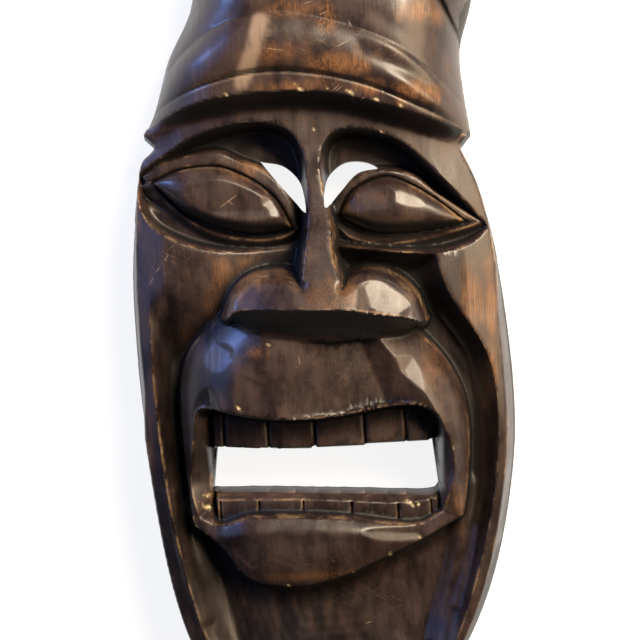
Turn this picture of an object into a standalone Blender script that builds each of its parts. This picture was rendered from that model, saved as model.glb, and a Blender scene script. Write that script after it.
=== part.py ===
"""A carved wooden mask with a wrapped headdress, made as one hollowed solid.

It lies on its flat back rim: +Z points out of the face, +Y up to the headdress
and +X to the right of someone looking at the face. Units are metres.
"""

import bpy
import numpy as np

# Driving sizes of the carved block
LENGTH = 0.476
WIDTH = 0.209
DEPTH = 0.080  # from the back rim to the tip of the nose
EDGE = 0.009  # upright edge all round the outline
RIM = 0.014  # flat rim that the mask lies on
HOLLOW = 0.016  # depth of the hollow behind the face
CROWN_HOLLOW = 0.030  # depth of the hollow behind the headdress
WALL = 0.006  # least wood left between the hollow and the carving
HOLLOW_SLOPE = 0.030  # how far the hollow's sides take to reach its floor
CROWN_BLEND = 0.060  # how far the face's hollow takes to deepen into the headdress's

# Levels of the carving over the back rim, as shares of the depth
SHOULDER_LEVEL = 0.45 * DEPTH
BROW_LEVEL = 0.60 * DEPTH
BAND_LEVEL = 0.75 * DEPTH
BAND_BULGE = 0.10 * DEPTH
BAND_LIFT = 0.03 * DEPTH
BAND_CREASE_DEPTH = 0.012 * DEPTH
BAND_VALLEY_DEPTH = 0.03 * DEPTH
FOLD_LEVEL = 0.83 * DEPTH
FOLD_BULGE = 0.04 * DEPTH
FOLD_DROPS = (0.045 * DEPTH, 0.05 * DEPTH, 0.16 * DEPTH)
BRIDGE_LEVEL = 0.66 * DEPTH
TIP_LEVEL = 0.90 * DEPTH
WING_DROP = 0.11 * DEPTH
WING_BEVEL_DROP = 0.07 * DEPTH
SOCKET_LEVEL = 0.33 * DEPTH
SOCKET_FOOT_LEVEL = 0.39 * DEPTH
LID_LEVEL = 0.45 * DEPTH
LID_GROOVE = 0.02 * DEPTH
LID_FALL = 0.008 * DEPTH
EYE_VALLEY_DEPTH = 0.055 * DEPTH
EYE_BULGE = 0.17 * DEPTH
EYE_PROUD = 0.02 * DEPTH
VALLEY_LEVEL = 0.30 * DEPTH
NOSE_SIDE_LEVEL = 0.41 * DEPTH
CHIN_LEVEL = 0.42 * DEPTH
MUZZLE_EDGE_LEVEL = 0.45 * DEPTH
MUZZLE_LEVEL = 0.74 * DEPTH
LIP_EDGE_LEVEL = 0.52 * DEPTH
LIP_LEVEL = 0.61 * DEPTH
LIP_ROLL_DROP = 0.07 * DEPTH
TEETH_LEVEL = 0.47 * DEPTH
TEETH_ARCH = 0.03 * DEPTH
MOUTH_LEVEL = 0.27 * DEPTH

# Widths of the carved slopes
SIDE_FACET = 0.008  # where it is broadest
FACET_TURN = 0.050  # how far the left side's facet takes to become the right side's
CHEEK_ROUNDING = 0.045
CHEEK_TURN = 0.016
WRAP_ROUNDING = 0.042
VALLEY_FADE = 0.030
COVE = 0.0085
FOLD_STEP = 0.0025
BROW_WALL = 0.004
SOCKET_BAND = 0.0045
LID_TURN = 0.004  # how far the upper lid takes to become the lower at a corner of the eye
CHANNEL_WALL = 0.011
LEFT_CHEEK_FALL = 0.080
RIGHT_CHEEK_FALL = 0.011
CHEEK_BLEND = 0.050
CHIN_BLEND = 0.070
TIP = 0.016
FLARE = 0.036
BRIDGE = 0.032
RIDGE = 0.010  # half the flat width of the nose's ridge
WING = 0.045
WING_BEVEL = 0.004
MUZZLE_ROUNDING = 0.034
LIP_ROUNDING = 0.022
LIP_ROLL = 0.009
LIP_BLEND = 0.020
MOUTH_HALF = 0.059
MOUTH_CORNER = 0.004
TEETH_HALF = 0.063
JAW_FOLD = 0.009
JAW_FOLD_RISE = 0.005
KERF = 0.0022
KERF_DEPTH = 0.0030

# Steepness of the carved walls, as fall over run
UPPER_LID_STEEPNESS = 3.0
LOWER_LID_STEEPNESS = 1.1
NOSE_STEEPNESS = 7.0
MUZZLE_STEEPNESS = 5.0
MOUTH_STEEPNESS = 6.0
MOUTH_SIDE_STEEPNESS = 2.0
TEETH_TOP_STEEPNESS = 1.5

# Shares that shape the curves
CHEEK_TURN_RISE = 0.86  # how much of its rise the front has made at the end of its turn
SOCKET_TURN = 0.25  # where up the socket its broad lower edge starts to narrow
SOCKET_TURN_RUN = 0.3
EYE_TAPER = 0.6  # how slowly the ball sinks towards the corners of the eye
UNDERSIDE_BEND = 1.2

# How finely the carving is worked before it is thinned out to flat facets
CELL = 0.0015
LEAST_GAP = 0.2 * CELL  # nearest that two grid lines come to each other
ON_LINE = 0.0001  # anything nearer to a line than this lies on it
FACETS = 9400

# Places on the pattern, in its own millimetres, x to the right and y up the face
CROWN_HOLLOW_START = 60
VALLEY_START = 15
CHEEK_MIDDLE = 20
CHEEK_FOOT = -25
CHANNEL_TOP = -10
CHIN_START = -150
LIP_START = -85
ROLL_START = -92
NOSE_MIDDLE = 2
NOSE_ENDS = (-48, 53)
MOUTH_MIDDLE = -1

# How broad the side facet is up each side: y on the pattern, and the share of its broadest
LEFT_FACET = [(-230, 0.4), (-60, 0.4), (-35, 0.8), (30, 0.75), (60, 0.55), (90, 0.3)]
RIGHT_FACET = [(-230, 1), (-35, 1), (0, 0.9), (25, 0.5), (60, 0.3), (100, 0.3)]

# Lines drawn on the same pattern
FACE_OUTLINE = [(-86, 96), (-95, 84), (-102, 40), (-103.5, 0), (-101, -60), (-91, -142), (-74, -192),
                (-42, -229), (0, -238), (40, -230), (68, -198), (90, -150), (103, -90), (105, -40),
                (99, 25), (90, 66), (81, 88)]
CROWN_OUTLINE = [(87, 95), (84, 118), (83, 142), (91, 174), (85, 210), (57, 233), (12, 238),
                 (-33, 229), (-56, 199), (-63, 168), (-76, 143), (-84, 118), (-92, 102)]
BAND_EDGE = [(-100, 98), (-73, 111.5), (-34, 118), (8, 117), (47, 106.5), (95, 89)]
BAND_CREASE = [(-100, 106), (-64, 121), (-20, 129), (23, 122), (60, 106), (95, 92)]
BAND_VALLEY = [(10, 143), (43, 129), (62, 118), (95, 96)]
SECOND_FOLD = [(-100, 112), (-63, 142), (-43, 153), (-22, 157), (0, 155), (43, 139), (95, 98)]
THIRD_FOLD = [(-100, 150), (-60, 178), (-28, 193), (5, 196), (38, 188), (62, 172), (79, 147), (95, 125)]
FOURTH_FOLD = [(-100, 186), (-56, 207), (-20, 219), (15, 220), (50, 211), (95, 178)]
CROWN_TOP = [(-100, 246), (95, 246)]
LEFT_BROW = [(-94, 80), (-86, 86), (-59, 100), (-30, 105), (-12, 100), (-5, 88), (-3, 69), (-5, 45)]
LEFT_SOCKET = [(-5, 45), (-8, 39), (-40, 38), (-62, 41), (-80, 49), (-89, 57), (-93.5, 68), (-94, 80)]
RIGHT_BROW = [(7, 45), (6, 65), (5, 86), (11, 97), (25, 99), (47, 91), (67, 72), (92, 45)]
RIGHT_SOCKET = [(92, 45), (82, 37), (64, 33), (39, 35), (11, 39), (7, 45)]
LEFT_EYE_TOP = [(-86, 77.5), (-71, 83.2), (-57, 84.5), (-46, 83), (-31, 75.3), (-20, 65.2), (-12, 49.5)]
LEFT_EYE_FOOT = [(-86, 77.5), (-70.5, 62), (-61.8, 56.8), (-47.7, 50.8), (-31, 47.8), (-12, 49.5)]
LEFT_LID_TOP = [(-90, 81), (-80, 87), (-59, 91.5), (-48, 91), (-40, 87), (-24, 79), (-13, 65), (-9.5, 49)]
LEFT_LID_FOOT = [(-90, 81), (-77.3, 66.6), (-65, 54.8), (-50, 47.1), (-31.5, 43.8), (-18, 44.8), (-9.5, 49)]
RIGHT_EYE_TOP = [(13, 55), (18, 65), (26, 71), (39, 74.4), (52, 69.5), (65, 61), (80, 48.5)]
RIGHT_EYE_FOOT = [(13, 55), (20, 50.5), (30.5, 45.7), (45, 44.5), (64, 45.6), (80, 48.5)]
RIGHT_LID_TOP = [(8.5, 51), (9.5, 60), (16, 70), (26, 76), (39, 77.6), (53, 74), (65, 64), (88, 47.5)]
RIGHT_LID_FOOT = [(8.5, 51), (14, 47), (19.2, 42.6), (34, 38.6), (54, 39.7), (70, 43), (88, 47.5)]
LEFT_EYE_GAP = [(-28, 86), (-16, 83), (-8, 75), (-5, 65), (-5, 57), (-11, 64), (-20, 75), (-28, 86)]
RIGHT_EYE_GAP = [(5, 66), (8, 76), (17, 83), (28, 83), (35, 79), (24, 77), (14, 67), (6, 59), (5, 66)]
NOSE_LEFT = [(-4, 92), (-3, 66), (-4, 48), (-8, 20)]
NOSE_LEFT_WING = [(-8, 20), (-19, 25), (-34, 24), (-44, 16), (-48, 4)]
NOSE_FOOT = [(-48, 4), (-38, 9), (-10, 8), (12, 7), (35, 3.5), (53, -2)]
NOSE_RIGHT_WING = [(53, -2), (49, 12), (38, 22.5), (25, 24.5), (13, 18)]
NOSE_RIGHT = [(13, 18), (8, 35), (8, 52), (4.5, 74), (5, 92)]
NOSE_UNDERSIDE = [(-48, 3), (-34, -5), (-4, -10), (26, -10), (45, -10), (53, -3)]
MUZZLE_LEFT = [(-40, 18), (-62, -3), (-73, -18), (-77, -42), (-76, -80), (-73, -107)]
LIP_FOOT = [(-73, -107), (-58, -121), (-45, -138), (-24, -143.5), (0, -141), (40, -125), (71, -109)]
MUZZLE_RIGHT = [(71, -109), (76, -80), (75.5, -50), (66, -26), (46, 0), (44, 18)]
MOUTH_TOP = [(-71, -62), (-68, -46), (-61, -43), (-32, -49), (0, -50), (40, -45), (57, -50), (66, -65)]
MOUTH_RIGHT = [(66, -65), (67.5, -84), (61, -106)]
MOUTH_FOOT = [(61, -106), (44, -112), (4, -106), (-40, -104), (-58, -108), (-70, -104)]
MOUTH_LEFT = [(-70, -104), (-74, -84), (-71, -62)]
MOUTH_GAP_TOP = [(-60, -66), (-8, -69.5), (58, -69)]
MOUTH_GAP_RIGHT = [(58, -69), (60.5, -95)]
MOUTH_GAP_FOOT = [(60.5, -95), (54, -98), (20, -96), (-37, -92.5), (-64, -92)]
MOUTH_GAP_LEFT = [(-64, -92), (-62, -78), (-60, -66)]
UPPER_TEETH_FOOT = [(-75, -67), (-8, -69.5), (70, -68)]
LOWER_TEETH_TOP = [(-75, -95), (-10, -97), (38, -101), (70, -98)]
UPPER_KERFS = (-55, -31, -6, 21, 43)
LOWER_KERFS = (-59, -38, -14, 12, 37, 55)
CHEEK_HOLLOW_TOP = [(-90, 30), (-86, 58), (-50, 66), (-15, 60), (3, 43), (39, 34.5), (62, 33)]
RIGHT_CHANNEL = [(62, 33), (70, 9), (88, -22), (92.5, -55), (87, -108), (65, -178), (40, -211), (0, -221)]
LEFT_CHANNEL = [(0, -221), (-42, -212), (-66, -182), (-83, -115), (-90, -45), (-90.5, 0), (-90, 30)]
LEFT_JAW_FOLD = [(-74, -100), (-70, -140), (-60, -185)]
RIGHT_JAW_FOLD = [(74, -95), (70, -130), (56, -180)]


def ease(share):
    """Soft step from 0 to 1."""
    share = np.clip(share, 0, 1)
    return share * share * (3 - 2 * share)


def fall(share):
    """Quick start and slow end from 0 to 1, as a gouge leaves a wall."""
    return 1 - (1 - np.clip(share, 0, 1)) ** 2


def swell(share):
    """Quarter-round from 0 to 1."""
    return np.sqrt(1 - (1 - np.clip(share, 0, 1)) ** 2)


def mix(start, end, share):
    return start + (end - start) * share


def smooth(points, steps=6):
    """A smooth open line through the points."""
    points = np.array(points, float)
    ends = np.vstack([2 * points[0] - points[1], points, 2 * points[-1] - points[-2]])
    line = []
    for before, start, end, after in zip(ends, ends[1:], ends[2:], ends[3:]):
        for share in np.arange(steps) / steps:
            bend = (2 * before - 5 * start + 4 * end - after) * share**2
            swing = (3 * start - before - 3 * end + after) * share**3
            line.append(start + 0.5 * ((end - before) * share + bend + swing))
    return np.array([*line, points[-1]])


def joined(*strokes):
    """A closed line of smooth strokes, with a corner where two of them meet."""
    line = np.vstack([smooth(stroke) for stroke in strokes])
    return np.vstack([line, line[:1]])


class Pattern:
    """Brings lines from the pattern to the mask's real size, with its outline centred."""

    def __init__(self):
        drawn = joined(FACE_OUTLINE, CROWN_OUTLINE)
        low, high = drawn.min(axis=0), drawn.max(axis=0)
        self.middle = (low + high) / 2
        self.scale = np.array([WIDTH, LENGTH]) / (high - low)

    def at_size(self, line):
        return (line - self.middle) * self.scale

    def across(self, points):
        """A smooth line that crosses the face, as its height up the face at each x."""
        line = self.at_size(smooth(points))
        return lambda x: np.interp(x, line[:, 0], line[:, 1])

    def x_at(self, drawn):
        return (drawn - self.middle[0]) * self.scale[0]

    def y_at(self, drawn):
        return (drawn - self.middle[1]) * self.scale[1]


PATTERN = Pattern()


def region(*strokes):
    return PATTERN.at_size(joined(*strokes))


OUTLINE = region(FACE_OUTLINE, CROWN_OUTLINE)
SOCKETS = (region(LEFT_BROW, LEFT_SOCKET), region(RIGHT_BROW, RIGHT_SOCKET))
EYES = (region(LEFT_EYE_TOP, LEFT_EYE_FOOT[::-1]), region(RIGHT_EYE_TOP, RIGHT_EYE_FOOT[::-1]))
LIDS = (region(LEFT_LID_TOP, LEFT_LID_FOOT[::-1]), region(RIGHT_LID_TOP, RIGHT_LID_FOOT[::-1]))
EYE_GAPS = (region(LEFT_EYE_GAP), region(RIGHT_EYE_GAP))
NOSE = region(NOSE_LEFT, NOSE_LEFT_WING, NOSE_FOOT, NOSE_RIGHT_WING, NOSE_RIGHT)
MUZZLE = region(MUZZLE_LEFT, LIP_FOOT, MUZZLE_RIGHT)
MOUTH = region(MOUTH_TOP, MOUTH_RIGHT, MOUTH_FOOT, MOUTH_LEFT)
MOUTH_GAP = region(MOUTH_GAP_TOP, MOUTH_GAP_RIGHT, MOUTH_GAP_FOOT, MOUTH_GAP_LEFT)
CHEEK_HOLLOW = region(CHEEK_HOLLOW_TOP, RIGHT_CHANNEL, LEFT_CHANNEL)


def nearest(line, x, y):
    """Each place's distance from a line, and the place on the line that is nearest to it."""
    least = np.full(x.shape, np.inf)
    near_x, near_y = np.zeros(x.shape), np.zeros(x.shape)
    for (start_x, start_y), (end_x, end_y) in zip(line, line[1:]):
        run_x, run_y = end_x - start_x, end_y - start_y
        length = run_x * run_x + run_y * run_y
        if length == 0:
            continue
        share = np.clip(((x - start_x) * run_x + (y - start_y) * run_y) / length, 0, 1)
        on_x, on_y = start_x + share * run_x, start_y + share * run_y
        gap = np.hypot(x - on_x, y - on_y)
        closer = gap < least
        least = np.where(closer, gap, least)
        near_x = np.where(closer, on_x, near_x)
        near_y = np.where(closer, on_y, near_y)
    return least, near_x, near_y


def within(line, x, y):
    """Whether each place lies inside a closed line."""
    inside = np.zeros(x.shape, bool)
    for (start_x, start_y), (end_x, end_y) in zip(line, line[1:]):
        if start_y == end_y:
            continue
        crosses = (start_y > y) != (end_y > y)
        inside ^= crosses & (x < start_x + (y - start_y) * (end_x - start_x) / (end_y - start_y))
    return inside


def inset(line, x, y):
    """Distance inside a closed line, less than zero outside it."""
    gap = nearest(line, x, y)[0]
    return np.where(within(line, x, y), gap, -gap)


def facet_width(x, y):
    """How broad the side facet is: broad beside the cheeks and narrow beside the brow."""
    sides = []
    for drawn in (LEFT_FACET, RIGHT_FACET):
        heights, shares = np.transpose(drawn)
        sides.append(SIDE_FACET * np.interp(y, PATTERN.y_at(heights), shares))
    return mix(*sides, ease(x / FACET_TURN + 0.5))


def face_body(x, y, edge_gap):
    """The plain block of the face: an upright edge, a side facet and a gently rounded front."""
    facet = facet_width(x, y)
    share = np.interp(
        edge_gap + (SIDE_FACET - facet) * np.clip(edge_gap / facet, 0, 1),
        [0, SIDE_FACET, SIDE_FACET + CHEEK_TURN, SIDE_FACET + CHEEK_ROUNDING],
        [0, (SHOULDER_LEVEL - EDGE) / (BROW_LEVEL - EDGE), CHEEK_TURN_RISE, 1],
    )
    return mix(EDGE, BROW_LEVEL, share)


def wrap_band(x, y, foot, top, level, bulge, drop):
    """One wrap of the headdress between two fold lines: a raised lower edge, a swelling, and a fall."""
    share = np.clip((y - foot(x)) / (top(x) - foot(x)), 0, 1)
    return level + bulge * (1 - (2 * share - 1) ** 2) - drop * share


def headdress(x, y, edge_gap):
    """The wraps from the broad band over the brow up to the crown, each one over the next."""
    folds = [PATTERN.across(line) for line in (BAND_EDGE, SECOND_FOLD, THIRD_FOLD, FOURTH_FOLD, CROWN_TOP)]
    height = wrap_band(x, y, folds[0], folds[1], BAND_LEVEL, BAND_BULGE, -BAND_LIFT)
    crease_gap = np.abs(y - PATTERN.across(BAND_CREASE)(x))
    height -= BAND_CREASE_DEPTH * (1 - ease(crease_gap / FOLD_STEP))
    valley_gap = np.abs(y - PATTERN.across(BAND_VALLEY)(x))
    valley_share = ease((x - PATTERN.x_at(VALLEY_START)) / VALLEY_FADE)
    height -= BAND_VALLEY_DEPTH * (1 - ease(valley_gap / COVE)) * valley_share
    for foot, top, drop in zip(folds[1:], folds[2:], FOLD_DROPS):
        band = wrap_band(x, y, foot, top, FOLD_LEVEL, FOLD_BULGE, drop)
        height = mix(height, band, ease((y - foot(x)) / FOLD_STEP))
    return mix(EDGE, height, swell(edge_gap / WRAP_ROUNDING))


def carve_sockets(height, x, y):
    """The sockets: undercut steeply below the brow and sloping in from the cheek."""
    brows = (LEFT_BROW[:6], RIGHT_BROW[3:])
    feet = (LEFT_SOCKET[1:][::-1], RIGHT_SOCKET[::-1])
    for socket, brow, foot in zip(SOCKETS, brows, feet):
        top, bottom = PATTERN.across(brow)(x), PATTERN.across(foot)(x)
        rise = (y - bottom) / np.maximum(top - bottom, COVE)
        under_brow = ease((rise - SOCKET_TURN) / SOCKET_TURN_RUN)
        band = mix(SOCKET_BAND, BROW_WALL, under_brow)
        floor = mix(SOCKET_FOOT_LEVEL, SOCKET_LEVEL, under_brow)
        height = np.minimum(height, mix(height, floor, fall(inset(socket, x, y) / band)))
    return height


def carve_cheeks(height, x, y):
    """The hollows beside the nose, which run down as channels past the mouth to the chin."""
    gap = inset(CHEEK_HOLLOW, x, y)
    left_cheek = ease((x - CHEEK_HOLLOW[:, 0].min()) / LEFT_CHEEK_FALL) * ease(gap / RIGHT_CHEEK_FALL)
    left = ease((PATTERN.x_at(CHEEK_MIDDLE) - x) / CHEEK_BLEND)
    upper = mix(fall(gap / RIGHT_CHEEK_FALL), left_cheek, left)
    depth = mix(fall(gap / CHANNEL_WALL), upper, ease((y - PATTERN.y_at(CHEEK_FOOT)) / CHEEK_BLEND))
    floor = mix(VALLEY_LEVEL, NOSE_SIDE_LEVEL, ease((y - PATTERN.y_at(CHANNEL_TOP)) / CHEEK_BLEND))
    floor = mix(floor, CHIN_LEVEL, ease((PATTERN.y_at(CHIN_START) - y) / CHIN_BLEND))
    height = np.where(gap > 0, np.minimum(height, mix(height, floor, depth)), height)
    for line in (LEFT_JAW_FOLD, RIGHT_JAW_FOLD):
        fold_gap = nearest(PATTERN.at_size(smooth(line)), x, y)[0]
        height = height + JAW_FOLD_RISE * (1 - ease(fold_gap / JAW_FOLD)) * (gap > 0)
    return height


def raise_eyes(height, x, y, body):
    """The shut eyes: a ball under a flat upper lid, with a valley between it and the thin lower lid."""
    lines = zip(EYES, LIDS, (LEFT_EYE_TOP, RIGHT_EYE_TOP), (LEFT_EYE_FOOT, RIGHT_EYE_FOOT))
    for eye, lids, top, foot in lines:
        gap, lid_gap = inset(eye, x, y), inset(lids, x, y)
        upper, lower = PATTERN.across(top)(x), PATTERN.across(foot)(x)
        tall = np.maximum(upper - lower, CELL)
        rise = np.clip((y - lower) / tall, 0, 1)
        roundness = np.sqrt(4 * rise * (1 - rise)) * (tall / tall.max()) ** EYE_TAPER
        ball = LID_LEVEL - LID_GROOVE + EYE_BULGE * roundness
        above_eye = ease((y - (upper + lower) / 2) / LID_TURN + 0.5)
        off_ball = np.clip(-gap / np.maximum(lid_gap - gap, CELL), 0, 1)
        lid = LID_LEVEL - mix(EYE_VALLEY_DEPTH * (1 - off_ball**2), LID_FALL * off_ball, above_eye)
        lid += np.minimum(lid_gap, 0) * mix(LOWER_LID_STEEPNESS, UPPER_LID_STEEPNESS, above_eye)
        height = np.where(gap > -ON_LINE, ball, np.maximum(height, lid))
    return np.minimum(height, body + EYE_PROUD)


def raise_muzzle(height, x, y):
    """The rounded mouth: the upper lip under the nose and the hanging lower lip."""
    gap = inset(MUZZLE, x, y)
    upper = mix(MUZZLE_EDGE_LEVEL, MUZZLE_LEVEL, fall(gap / MUZZLE_ROUNDING))
    lower = mix(LIP_EDGE_LEVEL, LIP_LEVEL, fall(gap / LIP_ROUNDING))
    share = ease((PATTERN.y_at(LIP_START) - y) / LIP_BLEND)
    form = mix(upper, lower, share)
    walls = mix(MUZZLE_EDGE_LEVEL, LIP_EDGE_LEVEL, share) + gap * MUZZLE_STEEPNESS
    return np.where(gap > 0, np.maximum(form, height), np.maximum(height, walls))


def nose_front(x, y):
    """The ridge runs forward down the bridge, then flares out to the tip; the wings fall back from it."""
    over_foot = y - PATTERN.across(NOSE_FOOT)(x)
    turns = np.cumsum([0, TIP, FLARE, BRIDGE])
    bridge = np.interp(over_foot, turns, [DEPTH, TIP_LEVEL, BRIDGE_LEVEL, BROW_LEVEL])
    off_ridge = np.abs(x - PATTERN.x_at(NOSE_MIDDLE)) - RIDGE
    return bridge - WING_DROP * ease(off_ridge / WING)


def wing_bevel(x, y):
    """How far the rounded tops of the nose's wings fall away."""
    wings = [PATTERN.at_size(smooth(points)) for points in (NOSE_LEFT_WING, NOSE_RIGHT_WING)]
    gap = np.minimum(*(nearest(wing, x, y)[0] for wing in wings))
    return WING_BEVEL_DROP * (1 - fall(gap / WING_BEVEL))


def raise_nose(height, x, y):
    """The nose, with steep walls beside it and a slope under its tip."""
    gap = inset(NOSE, x, y)
    top = nose_front(x, y) - wing_bevel(x, y)
    foot, under = PATTERN.across(NOSE_FOOT)(x), PATTERN.across(NOSE_UNDERSIDE)(x)
    edge = nose_front(x, foot) - wing_bevel(x, foot)
    share = np.clip((y - under) / np.maximum(foot - under, CELL / 10), 0, 1)
    left_end, right_end = (PATTERN.x_at(end) for end in NOSE_ENDS)
    below = (x > left_end) & (x < right_end) & (y < foot)
    underside = np.maximum(height, mix(height, edge, share**UNDERSIDE_BEND))
    walls = np.maximum(height, top + gap * NOSE_STEEPNESS)
    return np.where(gap > 0, top, np.where(below, np.maximum(underside, walls), walls))


def carve_mouth(height, x, y):
    """The open mouth: two rows of teeth parted by saw kerfs, a gap between them and rounded lips."""
    gap = inset(MOUTH, x, y)
    roll = LIP_ROLL_DROP * (1 - fall(-gap / LIP_ROLL)) * ease((PATTERN.y_at(ROLL_START) - y) / LIP_BLEND)
    height = height - np.where(inset(MUZZLE, x, y) > 0, roll, 0)
    beside = ease((np.abs(x - PATTERN.x_at(MOUTH_MIDDLE)) - MOUTH_HALF) / MOUTH_CORNER)
    walls = height - gap * mix(MOUTH_STEEPNESS, MOUTH_SIDE_STEEPNESS, beside)
    row = TEETH_LEVEL - TEETH_ARCH * (x / TEETH_HALF) ** 2
    upper = y > PATTERN.across(UPPER_TEETH_FOOT)(x)
    over = y - PATTERN.across(LOWER_TEETH_TOP)(x)
    for kerfs, teeth in ((UPPER_KERFS, upper), (LOWER_KERFS, over < 0)):
        for place in kerfs:
            notch = 1 - np.clip(np.abs(x - PATTERN.x_at(place)) / (KERF / 2), 0, 1)
            row = row - np.where(teeth, KERF_DEPTH * notch, 0)
    lower = row - np.maximum(over, 0) * TEETH_TOP_STEEPNESS
    floor = np.where(upper, row, np.maximum(lower, MOUTH_LEVEL))
    floor = mix(floor, MOUTH_LEVEL, beside)
    return np.where(gap > 0, np.minimum(height, np.maximum(walls, floor)), height)


def front(x, y):
    """Level of the carved front over the back rim."""
    edge_gap = np.maximum(inset(OUTLINE, x, y), 0)
    body = face_body(x, y, edge_gap)
    height = carve_cheeks(body, x, y)
    height = carve_sockets(height, x, y)
    height = raise_eyes(height, x, y, body)
    height = raise_muzzle(height, x, y)
    height = raise_nose(height, x, y)
    height = carve_mouth(height, x, y)
    band_edge = PATTERN.across(BAND_EDGE)(x)
    above = (y - band_edge + COVE) / COVE
    wrap = headdress(x, y, edge_gap)
    edge = headdress(x, np.maximum(y, band_edge), edge_gap)
    cove = mix(height, edge, np.clip(above, 0, 1) ** 2)
    return np.where(above > 1, wrap, np.where(above > 0, np.maximum(height, cove), height))


def back(x, y, face):
    """Level of the hollowed back, flat on the rim."""
    edge_gap = inset(OUTLINE, x, y)
    depth = mix(HOLLOW, CROWN_HOLLOW, ease((y - PATTERN.y_at(CROWN_HOLLOW_START)) / CROWN_BLEND))
    hollow = depth * ease((edge_gap - RIM) / HOLLOW_SLOPE)
    return np.clip(hollow, 0, np.maximum(face - WALL, 0))


def grid_lines(size, kerfs=()):
    """Even grid lines over a size, with three lines of its own at each saw kerf."""
    lines = np.linspace(-size / 2, size / 2, round(size / CELL) + 1)
    for place in kerfs:
        lines = lines[np.abs(lines - place) > KERF / 2 + LEAST_GAP]
        lines = np.append(lines, [place - KERF / 2, place, place + KERF / 2])
    return np.sort(lines)


def kerf_places():
    """Where the saw kerfs run, leaving out any that would crowd the one before."""
    places = []
    for drawn in sorted(UPPER_KERFS + LOWER_KERFS):
        place = PATTERN.x_at(drawn)
        if not places or place - places[-1] > KERF + LEAST_GAP:
            places.append(place)
    return places


def drawn_lines():
    """Every line that an edge of the carving follows, with the test for its sides."""
    for line in (OUTLINE, *EYE_GAPS, MOUTH_GAP, NOSE, MOUTH, MUZZLE, *EYES, *LIDS, *SOCKETS, CHEEK_HOLLOW):
        yield line, within
    for points in (BAND_EDGE, SECOND_FOLD, THIRD_FOLD, FOURTH_FOLD, NOSE_UNDERSIDE, LOWER_TEETH_TOP):
        yield PATTERN.at_size(smooth(points)), above


def above(line, x, y):
    return y > np.interp(x, line[:, 0], line[:, 1])


def pull_onto_lines(x, y):
    """Moves the grid's crossings with each drawn line onto it, so that edges run true and not in steps."""
    moved = np.zeros(x.shape, bool)
    true_x, true_y = x.copy(), y.copy()
    for line, side_of in drawn_lines():
        gap, near_x, near_y = nearest(line, x, y)
        inside = side_of(line, x, y)
        crossed = np.zeros(x.shape, bool)
        for before, after in ((np.s_[:, :-1], np.s_[:, 1:]), (np.s_[:-1, :], np.s_[1:, :])):
            crossing = inside[before] != inside[after]
            closer = gap[before] <= gap[after]
            crossed[before] |= crossing & closer
            crossed[after] |= crossing & ~closer
        crossed &= ~moved & (gap < CELL)
        true_x = np.where(crossed, near_x, true_x)
        true_y = np.where(crossed, near_y, true_y)
        moved |= crossed
    return true_x, true_y, moved


def split_cells(shape, places, moved):
    """Two triangles for each cell, parted between corners that lie on a line, or else the shorter way."""
    corner = np.arange(shape[0] * shape[1]).reshape(shape)
    low_left, low_right = corner[:-1, :-1].ravel(), corner[:-1, 1:].ravel()
    high_left, high_right = corner[1:, :-1].ravel(), corner[1:, 1:].ravel()
    rising = np.linalg.norm(places[low_left] - places[high_right], axis=1)
    falling = np.linalg.norm(places[low_right] - places[high_left], axis=1)
    rises = rising - CELL * (moved[low_left] & moved[high_right])
    falls = falling - CELL * (moved[low_right] & moved[high_left])
    halves = np.where(
        (rises < falls)[:, None, None],
        np.stack([[low_left, low_right, high_right], [low_left, high_right, high_left]]).transpose(2, 0, 1),
        np.stack([[low_left, low_right, high_left], [low_right, high_right, high_left]]).transpose(2, 0, 1),
    )
    return halves.reshape(-1, 3)


def border_edges(triangles, count):
    """The edges that only one triangle has, each as it runs round that triangle."""
    starts, ends = triangles.ravel(), np.roll(triangles, -1, axis=1).ravel()
    shared = np.isin(starts * count + ends, ends * count + starts)
    return starts[~shared], ends[~shared]


def without_corner_touches(triangles, kept, count):
    """Closes the thinnest end of a gap, where its two sides would meet at one corner."""
    while True:
        starts, _ = border_edges(triangles[kept], count)
        touching = np.flatnonzero(np.bincount(starts, minlength=count) > 1)
        if not len(touching):
            return kept
        kept |= np.isin(triangles, touching).any(axis=1)


def carved_mesh():
    """The carved front and the hollowed back, closed by upright walls along every border."""
    x, y = np.meshgrid(grid_lines(WIDTH, kerf_places()), grid_lines(LENGTH))
    x, y, moved = pull_onto_lines(x, y)
    shape, x, y, moved = x.shape, x.ravel(), y.ravel(), moved.ravel()
    face = np.maximum(front(x, y), EDGE)
    triangles = split_cells(shape, np.column_stack([x, y, face]), moved)

    middle_x, middle_y = x[triangles].mean(axis=1), y[triangles].mean(axis=1)
    kept = within(OUTLINE, middle_x, middle_y)
    for gap in (*EYE_GAPS, MOUTH_GAP):
        kept &= ~within(gap, middle_x, middle_y)
    triangles = triangles[without_corner_touches(triangles, kept, len(x))]
    used, triangles = np.unique(triangles, return_inverse=True)
    x, y, face, triangles = x[used], y[used], face[used], triangles.reshape(-1, 3)

    count = len(x)
    starts, ends = border_edges(triangles, count)
    walls = np.vstack([
        np.column_stack([starts, starts + count, ends + count]),
        np.column_stack([starts, ends + count, ends]),
    ])
    places = np.column_stack([np.tile(x, 2), np.tile(y, 2), np.append(face, back(x, y, face))])
    faces = np.vstack([triangles, triangles[:, ::-1] + count, walls])
    mesh = bpy.data.meshes.new("mask")
    mesh.from_pydata(places.tolist(), [], faces.tolist())
    return mesh


def dark_hardwood():
    """Stained and polished hardwood: near-black brown with a soft gloss."""
    wood = bpy.data.materials.new("dark_hardwood")
    wood.use_nodes = True
    shader = wood.node_tree.nodes["Principled BSDF"]
    shader.inputs["Base Color"].default_value = (0.040, 0.022, 0.016, 1)
    shader.inputs["Roughness"].default_value = 0.35
    shader.inputs["Metallic"].default_value = 0
    return wood


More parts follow.
